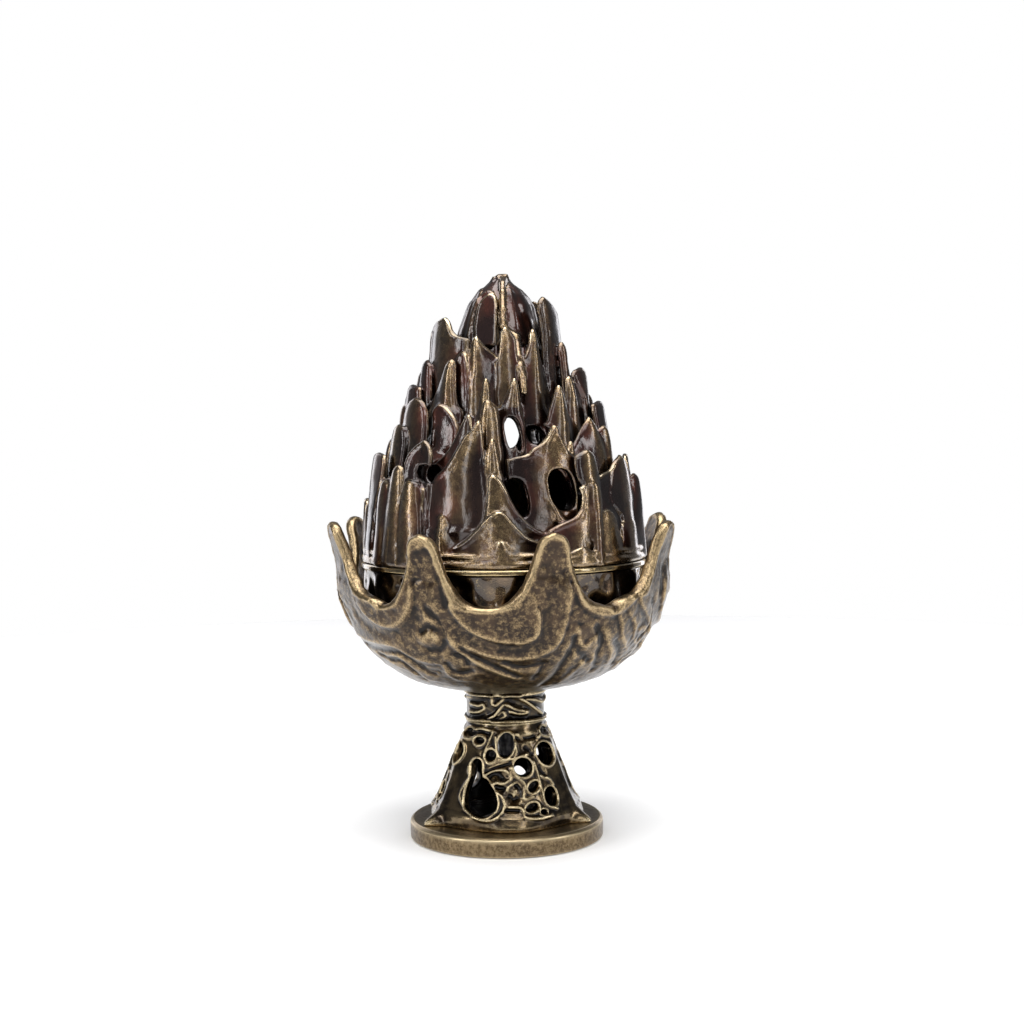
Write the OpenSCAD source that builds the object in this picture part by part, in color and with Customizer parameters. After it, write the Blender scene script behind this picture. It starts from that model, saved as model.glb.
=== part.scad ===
// Hill censer: base disc, pierced trumpet stem, ring collar, eight-petal bowl,
// liner cup, ember dish and pierced hill lid, drawn together by one long screw.
// Millimetres, Z up, origin at the centre of the underside.
// Angles run round the axis from the front (-Y), positive towards +X.

/* [Base] */
// diameter of the base disc
base_d = 60; // [58:0.5:66]
// height of the base disc's top face above the table
base_top = 6.1; // [5.8:0.1:7.5]
// chamfer on both edges of the base disc
base_chamfer = 0.7; // [0.3:0.1:1.0]
// thickness of the felt pad
pad_t = 1; // [0.9:0.1:1.2]
// outer diameter of the felt pad
pad_d = 52; // [46:1:53]

/* [Stem] */
// height of the trumpet stem
stem_h = 30.8; // [28:0.2:36]
// wall of the stem casting
stem_wall = 2.4; // [2.2:0.1:3]
// size factor on the pierced holes of the stem
stem_hole_k = 1; // [0.6:0.05:1.15]
// height of the ring collar above the stem
collar_h = 9.5; // [9:0.25:12]
// diameter of the ring collar
collar_d = 25.6; // [24:0.2:27]

/* [Bowl] */
// height of the petal tips above the bowl's foot
petal_h = 53; // [50:0.5:55]
// height of the valleys between petals above the bowl's foot
valley_h = 30; // [27:0.5:33]
// half width of a valley at mid height
valley_w = 13; // [11:0.25:13.5]
// turn of the petal ring
petal_turn = 19.5; // [0:0.5:45]

/* [Cup] */
// outside radius of the liner cup's wall
cup_r = 43.1; // [42.5:0.1:43.2]
// wall of the liner cup
cup_wall = 1.8; // [1.5:0.1:2.2]
// thickness of the heat mat
mat_t = 2.5; // [2:0.1:3]
// outside radius of the ember dish
dish_r = 19; // [15:0.5:22]

/* [Lid] */
// wall of the lid's dome
lid_wall = 3; // [2.6:0.1:3.4]
// thickness of a rock leaf
leaf_t = 3.2; // [2.8:0.1:3.6]
// size factor on the smoke vents
vent_k = 1; // [0.7:0.05:1.2]

/* [Hidden] */
$fn = 96;

// stack of heights
disc_z0 = pad_t - 0.7;
seat_z = base_top - 1.8;          // roof of the screw's counterbore
stem_z0 = base_top;
stem_z1 = stem_z0 + stem_h;
bowl_z0 = stem_z1 + collar_h;
floor_z = bowl_z0 + 3.6;          // bowl floor that carries washer and nut
ledge_z = bowl_z0 + 6.6;          // flat ring the liner cup stands on
cup_floor = bowl_z0 + 15.1;
rim_z = bowl_z0 + 39.8;           // liner cup's rim
lid0 = rim_z;                     // lid's own zero

// fasteners
m5_r = 2.48;
m5_hole = 2.75;
washer_t = 1;
washer_r = 5;
head_h = 2.75;
head_r = 4.75;
nut_h = 4.7;
nut_af = 8;

// turn to an angle counted from the front
module at(a) { rotate([0, 0, a - 90]) children(); }

// round bore along the local +X direction, set at a height
module bore(z, r, x0, x1) {
  translate([x0, 0, z]) rotate([0, 90, 0]) cylinder(h = x1 - x0, r = r);
}

module tube(r1, r0, z0, z1) {
  rotate_extrude() polygon([[r0, z0], [r1, z0], [r1, z1], [r0, z1]]);
}

// ---------------------------------------------------------------- base
module foot_pad() {
  color([0.08, 0.08, 0.08]) tube(pad_d / 2, 9, 0, pad_t);
}

module base_disc() {
  R = base_d / 2;
  c = base_chamfer;
  color([0.55, 0.42, 0.22]) rotate_extrude() polygon([
    [m5_hole, seat_z], [6.5, seat_z], [6.5, disc_z0 + 0.7], [pad_d / 2 + 0.25, disc_z0 + 0.7],
    [pad_d / 2 + 0.25, disc_z0], [R - c, disc_z0], [R, disc_z0 + c],
    [R, base_top - c], [R - c, base_top], [18.7, base_top],
    [18.7, base_top + 1.2], [16.5, base_top + 1.2], [16.5, base_top], [m5_hole, base_top]]);
}

// ---------------------------------------------------------------- stem
// pierced holes: angle, height above the foot, radius
stem_holes = [[-5, 19.8, 2.9], [18, 13, 2.9], [42, 17.5, 2.3], [-27, 6.6, 4.2], [-32, 14, 1.8],
              [58, 5.6, 2.6], [76, 12, 2.6], [106, 19.5, 2.4], [118, 6.2, 4], [134, 15, 2.6],
              [158, 19.4, 2.8], [166, 10, 3], [186, 5.6, 3], [196, 17.5, 2.6], [222, 12.5, 3],
              [240, 19.5, 2.3], [252, 6.2, 4], [272, 14, 2.8], [300, 7, 3], [306, 18.5, 2.4]];
toe_angles = [-62, 66, 186];

module toe(a) {
  at(a) translate([0, 0, stem_z0 + 0.1]) linear_extrude(height = 2.4)
    polygon([[20.2, -4.6], [23.6, -3.4], [27.4, 0], [23.6, 3.4], [20.2, 4.6]]);
}

module stem() {
  k = stem_h / 30.8;
  w = stem_wall;
  color([0.16, 0.13, 0.1]) difference() {
    union() {
      translate([0, 0, stem_z0]) rotate_extrude() polygon([
        [19.3, 0], [23.4, 0], [23.7, 1.4], [22.9, 5.1 * k], [21.2, 6.9 * k], [19.7, 10.6 * k],
        [18.1, 14.4 * k], [16.8, 18 * k], [15.2, 21.7 * k], [13.9, 25.4 * k], [13.1, 28 * k],
        [12.2, 29.4 * k], [12.2, stem_h], [8.5, stem_h], [8.5, stem_h + 4.1], [m5_hole, stem_h + 4.1],
        [m5_hole, stem_h - 3.2], [11.4 - w, 26 * k], [15.2 - w, 20 * k], [17.9 - w, 13 * k], [20.6 - w, 6.9 * k]]);
      for (a = toe_angles) toe(a);
    }
    for (h = stem_holes) at(h[0]) bore(stem_z0 + h[1] * k, h[2] * stem_hole_k, 7, 32);
  }
}

module stem_collar() {
  R = collar_d / 2;
  h = collar_h;
  color([0.2, 0.16, 0.1]) translate([0, 0, stem_z1]) rotate_extrude() polygon([
    [8.7, 0], [R - 0.9, 0], [R, 0.5], [R, 1.6], [R - 0.7, 2.1], [R - 0.5, h / 2],
    [R - 0.7, h - 2.9], [R, h - 2.4], [R, h - 0.6], [R - 0.8, h], [8.7, h]]);
}

// ---------------------------------------------------------------- bowl
module valley(a) {
  t = petal_h;
  v = valley_h;
  w = valley_w;
  at(a) translate([28, 0, bowl_z0]) rotate([90, 0, 90]) linear_extrude(height = 34)
    polygon([[0, v - 0.6], [w * 0.5, v], [w * 0.82, v + 3.6], [w, v + 11], [w + 1.1, t - 5], [w + 2.6, t - 1.8],
             [w + 5.6, t - 0.1], [w + 5.6, t + 9], [-w - 5.6, t + 9], [-w - 5.6, t - 0.1], [-w - 2.6, t - 1.8],
             [-w - 1.1, t - 5], [-w, v + 11], [-w * 0.82, v + 3.6], [-w * 0.5, v]]);
}

module petal_bowl() {
  z = bowl_z0;
  color([0.32, 0.25, 0.15]) difference() {
    translate([0, 0, z]) rotate_extrude() polygon([
      [m5_hole, -4.4], [8.5, -4.4], [8.5, 0], [13.4, 0], [23.2, 1.9], [29.6, 3.8], [33.3, 5.8], [38.4, 9.6],
      [42.2, 13.3], [45, 17.1], [47.3, 20.8], [49.2, 25.5], [50.9, 30.1], [51.7, 33.8], [52.3, 41.1], [53.2, 44.8],
      [54.6, 49], [55.2, petal_h], [52.4, petal_h], [51.2, 49], [49.9, 45.2], [49, 41.2], [48.3, 35], [47.3, 30.4],
      [45.7, 26], [43.8, 21.6], [41.1, 17.2], [38.1, 13.1], [34.5, 9.8], [30.5, 7.8], [25.2, 6.6], [17, 6.6],
      [17, 3.6], [m5_hole, 3.6]]);
    for (i = [0 : 7]) valley(petal_turn + 22.5 + 45 * i);
  }
}

// ---------------------------------------------------------------- fasteners
module washer(z) { tube(washer_r, 2.65, z, z + washer_t); }

module base_washer() { color([0.72, 0.72, 0.74]) washer(seat_z - washer_t); }

module bowl_washer() { color([0.72, 0.72, 0.74]) washer(floor_z); }

module bowl_nut() {
  color([0.72, 0.72, 0.74]) translate([0, 0, floor_z + washer_t]) difference() {
    linear_extrude(height = nut_h) polygon([for (i = [0 : 5]) [cos(60 * i), sin(60 * i)] * nut_af / sqrt(3)]);
    translate([0, 0, -1]) cylinder(h = nut_h + 2, r = 2.53);
  }
}

module tie_bolt() {
  z0 = seat_z - washer_t;
  z1 = floor_z + washer_t + nut_h + 2.6;
  color([0.62, 0.62, 0.65]) difference() {
    rotate_extrude() polygon([
      [0, z0 - head_h], [2.6, z0 - head_h], [4, z0 - head_h + 0.7], [head_r, z0 - 0.8], [head_r, z0],
      [m5_r, z0], [m5_r, z1 - 0.7], [m5_r - 0.7, z1], [0, z1]]);
    translate([0, 0, z0 - head_h - 1]) linear_extrude(height = 2.6)
      polygon([for (i = [0 : 5]) [cos(60 * i), sin(60 * i)] * 1.73]);
  }
}

// ---------------------------------------------------------------- liner cup
module inner_cup() {
  r = cup_r;
  i = cup_r - cup_wall;
  z = bowl_z0;
  h = rim_z - bowl_z0;
  color([0.07, 0.05, 0.04]) translate([0, 0, z]) rotate_extrude() polygon([
    [0, 13.1], [17.5, 13.1], [20, 10], [20, 6.6], [24, 6.6], [24, 9.4], [27.5, 9.6], [32, 11.2], [36.2, 13.8],
    [39.8, 17.4], [41.7, 20.6], [r - 0.3, 23.4], [r, 26], [r, h - 2], [r + 0.8, h - 1.4], [r + 0.8, h - 0.3],
    [r + 0.5, h], [i, h], [i, 24.2], [i - 1.6, 20.4], [i - 4, 17.2], [i - 8.2, 15.1], [0, 15.1]]);
}

module heat_mat() {
  color([0.75, 0.73, 0.68]) tube(30, 3, cup_floor, cup_floor + mat_t);
}

module incense_dish() {
  r = dish_r;
  z = cup_floor + mat_t;
  color([0.6, 0.47, 0.25]) translate([0, 0, z]) rotate_extrude() polygon([
    [0, 1], [r * 0.5, 1], [r * 0.55, 0], [r * 0.68, 0], [r * 0.74, 1.2], [r * 0.94, 3.6], [r, 5.4], [r, 6.2],
    [r - 1.3, 6.2], [r * 0.84, 4.6], [r * 0.66, 3.1], [3.4, 2.6], [3, 5], [1.4, 5], [1.2, 2.4], [0, 2.4]]);
}

// ---------------------------------------------------------------- lid
// rock leaves: angle, tip height above the lid's zero, radius, half width
rocks = [
  // front, low to high
  [-1.5, 8.5, 43.4, 4], [-24, 17, 42.8, 4], [-1, 17, 42.8, 6.5], [46, 16.5, 42.8, 4.5], [67, 12.5, 43, 3.5],
  [-88, 18.5, 42.6, 3.5], [-40, 26, 42, 3.5], [-5, 27, 41.8, 5.5], [33, 23.5, 42, 3.5], [88, 27, 41.6, 3.5],
  [-56, 25, 42, 3], [-73, 33, 39.8, 4], [-49, 30, 40.6, 2.8], [62, 32.5, 40, 4.2], [41, 34, 39, 4],
  [-37, 37, 37.4, 3.5], [-15, 41, 35.2, 5.5], [26, 41.5, 35, 5.5], [-3, 37.5, 37, 3], [53, 44, 33.8, 4],
  [-60, 49.5, 31.2, 5], [-7, 48.5, 31.7, 4], [38, 53.5, 29, 4], [76, 49, 31.4, 3.2], [8, 55, 28.2, 3.4],
  [-10, 55, 28, 3], [-37, 61, 24.8, 4], [-72, 61, 24.7, 3.5], [76, 59, 25.8, 3.4], [63, 66, 21.7, 3],
  [-22, 67, 21.4, 3.2], [4, 71, 19.8, 3], [30, 70, 20, 3.2], [-86, 74.5, 17.8, 4], [82, 81, 13.4, 4],
  // back, low to high
  [112, 14, 43, 4.5], [140, 17, 42.8, 5], [168, 14, 43, 5], [194, 18, 42.7, 5], [222, 15, 42.8, 5], [250, 13, 43, 4.5],
  [112, 30, 40.5, 4], [145, 27, 41.8, 5], [176, 31, 40.4, 4.5], [208, 26, 42, 5], [238, 30, 40.5, 4],
  [100, 42, 34.6, 4], [128, 40, 35.6, 4.5], [160, 43, 34, 4.5], [194, 39, 36, 4.5], [226, 42, 34.6, 4], [256, 41, 35, 4],
  [114, 53, 29, 4], [148, 55, 28, 3.5], [184, 51, 30.6, 4], [216, 54, 28.5, 3.5], [248, 52, 29.6, 4],
  [108, 67, 21.4, 3.2], [140, 64, 23, 3.5], [174, 70, 19.8, 3], [206, 66, 22, 3.4], [238, 69, 20.6, 3]];

// smoke vents: angle, height above the lid's zero, radius
vents = [[6, 20.5, 2.8], [24.5, 22.5, 3.6], [5, 39, 2.4], [20, 37.5, 2.2], [-39, 29, 2.4], [39, 35.5, 2.3],
         [-66, 22, 2.8], [70, 23, 2.6], [-30, 53, 2], [54, 57, 2], [105, 23, 2.8], [128, 28, 2.6], [159, 38, 2.4],
         [174, 39, 2.6], [182, 21, 3], [212, 37, 2.4], [223, 24, 2.8], [254, 25, 2.6], [130, 53, 2], [200, 62, 2],
         [232, 58, 2], [280, 40, 2.2]];

module rock(p) {
  w = p[3];
  zb = max(1.2, p[1] - 21);
  d = p[1] - zb;
  h = min(d - 1, 2.1 * w);
  at(p[0]) translate([p[2] - leaf_t, 0, lid0 + p[1]]) rotate([90, 0, 90]) linear_extrude(height = leaf_t)
    polygon([[0, 0], [w * 0.4, -h * 0.16], [w * 0.66, -h * 0.5], [w * 1.1, -h], [w * 1.1, -d],
             [-w * 1.1, -d], [-w * 1.1, -h], [-w * 0.66, -h * 0.5], [-w * 0.4, -h * 0.16]]);
}

module hill_lid() {
  w = lid_wall;
  color([0.12, 0.08, 0.06]) difference() {
    union() {
      translate([0, 0, lid0]) rotate_extrude() polygon([
        [0, -2.5], [40.9, -2.5], [40.9, 0], [43.6, 0], [43.9, 0.3], [43.9, 2], [43.4, 2.4], [42.6, 2.5], [42.1, 6],
        [41.3, 12], [39.4, 18], [36.9, 24], [34.3, 30], [31.5, 36], [28.1, 42], [24.7, 48], [21.1, 54], [16.7, 60],
        [12.4, 66], [9.4, 71], [8.3, 76], [7.6, 80], [5.6, 84], [2.8, 87], [0, 87.8]]);
      for (p = rocks) rock(p);
    }
    translate([0, 0, lid0]) rotate_extrude() polygon([
      [0, -3.5], [38.7, -3.5], [39, 6], [41.3 - w, 12], [39.4 - w - 0.1, 18], [36.9 - w - 0.2, 24],
      [34.3 - w - 0.3, 30], [31.5 - w - 0.3, 36], [28.1 - w - 0.4, 42], [24.7 - w - 0.4, 48],
      [21.1 - w - 0.5, 54], [16.7 - w - 0.6, 60], [7.8, 65.5], [0, 67]]);
    for (v = vents) at(v[0]) bore(lid0 + v[1], v[2] * vent_k, 6, 52);
  }
}

foot_pad();
base_disc();
stem();
stem_collar();
petal_bowl();
tie_bolt();
base_washer();
bowl_washer();
bowl_nut();
inner_cup();
heat_mat();
incense_dish();
hill_lid();
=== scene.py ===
"""Looks of the bronze hill censer: cast pieces as fine meshes, bronze and brass finishes, floor, light and camera."""

import math

import bmesh
import bpy
import numpy as np
from mathutils import Matrix, Vector


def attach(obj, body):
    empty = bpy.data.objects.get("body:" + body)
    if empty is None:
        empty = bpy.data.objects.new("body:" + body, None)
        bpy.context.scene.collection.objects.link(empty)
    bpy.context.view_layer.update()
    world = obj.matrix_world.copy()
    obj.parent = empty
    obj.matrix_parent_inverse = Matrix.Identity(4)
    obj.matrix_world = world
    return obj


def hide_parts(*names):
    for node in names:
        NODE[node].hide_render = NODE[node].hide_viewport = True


F = np.float32
MM = 0.001

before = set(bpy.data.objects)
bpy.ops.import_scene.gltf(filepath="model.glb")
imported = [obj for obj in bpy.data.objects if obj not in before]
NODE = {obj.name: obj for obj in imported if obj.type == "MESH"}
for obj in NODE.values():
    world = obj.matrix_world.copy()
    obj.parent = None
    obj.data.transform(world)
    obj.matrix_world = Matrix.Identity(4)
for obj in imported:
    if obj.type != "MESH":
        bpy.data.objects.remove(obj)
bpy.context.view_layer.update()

# ------------------------------------------------------------------ fields


def smin(a, b, k):
    h = np.clip(0.5 + 0.5 * (b - a) / k, 0, 1)
    return b + (a - b) * h - k * h * (1 - h)


def smax(a, b, k):
    return -smin(-a, -b, k)


def sstep(x, a, b):
    t = np.clip((x - a) / (b - a), 0, 1)
    return t * t * (3 - 2 * t)


class Grid:
    """Block of distance samples in millimetres."""

    def __init__(self, lo, hi, h):
        self.h = F(h)
        self.lo = np.array(lo, F)
        n = np.ceil((np.array(hi, F) - self.lo) / F(h)).astype(int) + 1
        self.ax = [(self.lo[i] + F(h) * np.arange(n[i])).astype(F) for i in range(3)]
        self.d = np.full(n, 9, F)
        # tag: rubbed brass on the lid, painted shade inside the stem; rim: bands for painted glints
        self.tag = np.zeros(n, F)
        self.rim = np.zeros(n, F)

    def window(self, lo, hi):
        s = []
        for i in range(3):
            a = int(np.clip((lo[i] - self.lo[i]) // self.h, 0, len(self.ax[i]) - 2))
            b = int(np.clip((hi[i] - self.lo[i]) // self.h + 2, a + 2, len(self.ax[i])))
            s.append(slice(a, b))
        x = self.ax[0][s[0]][:, None, None]
        y = self.ax[1][s[1]][None, :, None]
        z = self.ax[2][s[2]][None, None, :]
        return tuple(s), x, y, z

    def sample(self, field, p):
        """Trilinear look-up of a field on this grid at points p (n, 3)."""
        q = (p - self.lo) / self.h
        n = np.array(field.shape)
        q = np.clip(q, 0, n - 1.001)
        i = q.astype(np.int64)
        f = (q - i).astype(F)
        out = np.zeros(len(p), F)
        for dx in (0, 1):
            wx = f[:, 0] if dx else 1 - f[:, 0]
            for dy in (0, 1):
                wy = f[:, 1] if dy else 1 - f[:, 1]
                for dz in (0, 1):
                    wz = f[:, 2] if dz else 1 - f[:, 2]
                    out += wx * wy * wz * field[i[:, 0] + dx, i[:, 1] + dy, i[:, 2] + dz]
        return out

    def mesh(self):
        """Surface of d < 0 as points and quads, facing outwards."""
        d = self.d
        ins = d < 0
        s = np.zeros(tuple(np.array(d.shape) - 1), np.int8)
        for dx in (0, 1):
            for dy in (0, 1):
                for dz in (0, 1):
                    s += ins[dx : d.shape[0] - 1 + dx, dy : d.shape[1] - 1 + dy, dz : d.shape[2] - 1 + dz]
        act = (s > 0) & (s < 8)
        cell = np.argwhere(act)
        vid = np.full(act.shape, -1, np.int32)
        vid[act] = np.arange(len(cell), dtype=np.int32)
        corner = [(a, b, c) for a in (0, 1) for b in (0, 1) for c in (0, 1)]
        val = [d[cell[:, 0] + a, cell[:, 1] + b, cell[:, 2] + c] for a, b, c in corner]
        acc = np.zeros((len(cell), 3), F)
        cnt = np.zeros(len(cell), F)
        for i, ci in enumerate(corner):
            for j in range(i + 1, 8):
                cj = corner[j]
                if sum(abs(ci[k] - cj[k]) for k in range(3)) != 1:
                    continue
                a, b = val[i], val[j]
                m = (a < 0) != (b < 0)
                t = np.where(m, a / np.where(m, a - b, 1), 0)
                for k in range(3):
                    acc[:, k] += np.where(m, ci[k] + t * (cj[k] - ci[k]), 0)
                cnt += m
        p = (cell + acc / cnt[:, None]).astype(F) * self.h + self.lo
        quads = []
        for k in range(3):
            u, v = (k + 1) % 3, (k + 2) % 3
            n0 = list(d.shape)
            sl0 = [slice(1, n0[i] - 1) for i in range(3)]
            sl1 = list(sl0)
            sl0[k] = slice(0, n0[k] - 1)
            sl1[k] = slice(1, n0[k])
            a, b = ins[tuple(sl0)], ins[tuple(sl1)]
            for up in (True, False):
                e = np.argwhere(a & ~b if up else b & ~a)
                off = np.array([1, 1, 1])
                off[k] = 0
                e = e + off
                q = []
                for du, dv in ((-1, -1), (0, -1), (0, 0), (-1, 0)):
                    c = e.copy()
                    c[:, u] += du
                    c[:, v] += dv
                    q.append(vid[c[:, 0], c[:, 1], c[:, 2]])
                q = np.stack(q, 1)
                quads.append(q if up else q[:, ::-1])
        return p, np.concatenate(quads)

    def blur(self, radius):
        """Share of metal within about radius of each sample."""
        occ = np.clip(0.5 - self.d / self.h, 0, 1).astype(F)
        n = max(1, int(round(radius / float(self.h))))
        for _ in range(2):
            for k in range(3):
                c = np.cumsum(np.concatenate([np.zeros_like(np.take(occ, [0], k)), occ], k), k, dtype=F)
                m = occ.shape[k]
                hi = np.minimum(np.arange(m) + n + 1, m)
                lo = np.maximum(np.arange(m) - n, 0)
                occ = (np.take(c, hi, k) - np.take(c, lo, k)) / F(2 * n + 1)
        return occ


def drop_crumbs(me, least=900):
    """Takes away closed crumbs that hang loose from the main skin."""
    n = len(me.vertices)
    e = np.zeros(len(me.edges) * 2, np.int32)
    me.edges.foreach_get("vertices", e)
    e = e.reshape(-1, 2)
    lab = np.arange(n)
    while True:
        low = np.minimum(lab[e[:, 0]], lab[e[:, 1]])
        new = lab.copy()
        np.minimum.at(new, e[:, 0], low)
        np.minimum.at(new, e[:, 1], low)
        new = new[new]
        if np.array_equal(new, lab):
            break
        lab = new
    small = np.bincount(lab, minlength=n)[lab] < least
    if not small.any():
        return
    bm = bmesh.new()
    bm.from_mesh(me)
    bm.verts.ensure_lookup_table()
    bmesh.ops.delete(bm, geom=[bm.verts[i] for i in np.nonzero(small)[0]], context="VERTS")
    bm.to_mesh(me)
    bm.free()


def build(name, grid, node, body, mat, faces, reach=(0.9, 3.6)):
    """Turns a grid into a shown piece that stands for a CAD node."""
    p, q = grid.mesh()
    me = bpy.data.meshes.new(name)
    me.vertices.add(len(p))
    me.vertices.foreach_set("co", (p * F(MM)).ravel())
    me.loops.add(q.size)
    me.loops.foreach_set("vertex_index", q.ravel().astype(np.int32))
    me.polygons.add(len(q))
    me.polygons.foreach_set("loop_start", np.arange(0, q.size, 4, dtype=np.int32))
    me.update(calc_edges=True)
    me.validate()
    ob = bpy.data.objects.new(name, me)
    bpy.context.scene.collection.objects.link(ob)
    want = faces / max(1, 2 * len(q))
    if want < 0.98:
        mod = ob.modifiers.new("thin", "DECIMATE")
        mod.ratio = want
        dg = bpy.context.evaluated_depsgraph_get()
        thin = bpy.data.meshes.new_from_object(ob.evaluated_get(dg))
        ob.modifiers.clear()
        ob.data = thin
        bpy.data.meshes.remove(me)
        me = thin
        me.name = name
    drop_crumbs(me)
    me.polygons.foreach_set("use_smooth", np.ones(len(me.polygons), bool))
    co = np.zeros(len(me.vertices) * 3, F)
    me.vertices.foreach_get("co", co)
    co = co.reshape(-1, 3) / F(MM)
    for label, radius in zip(("edge", "cave"), reach):
        occ = grid.sample(grid.blur(radius), co)
        at = me.attributes.new(label, "FLOAT", "POINT")
        at.data.foreach_set("value", occ.astype(F))
    # ridge carries rubbed brass on the lid and the painted shade inside the stem; rim carries the painted rim glint
    for label, field in (("ridge", grid.tag), ("rim", grid.rim)):
        me.attributes.new(label, "FLOAT", "POINT").data.foreach_set("value", grid.sample(field, co))
    me.materials.append(mat)
    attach(ob, body)
    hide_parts(node)
    return ob


# ------------------------------------------------------------------ lid


def along(t, zs, rs):
    return np.interp(t, zs, rs).astype(F)


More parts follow.
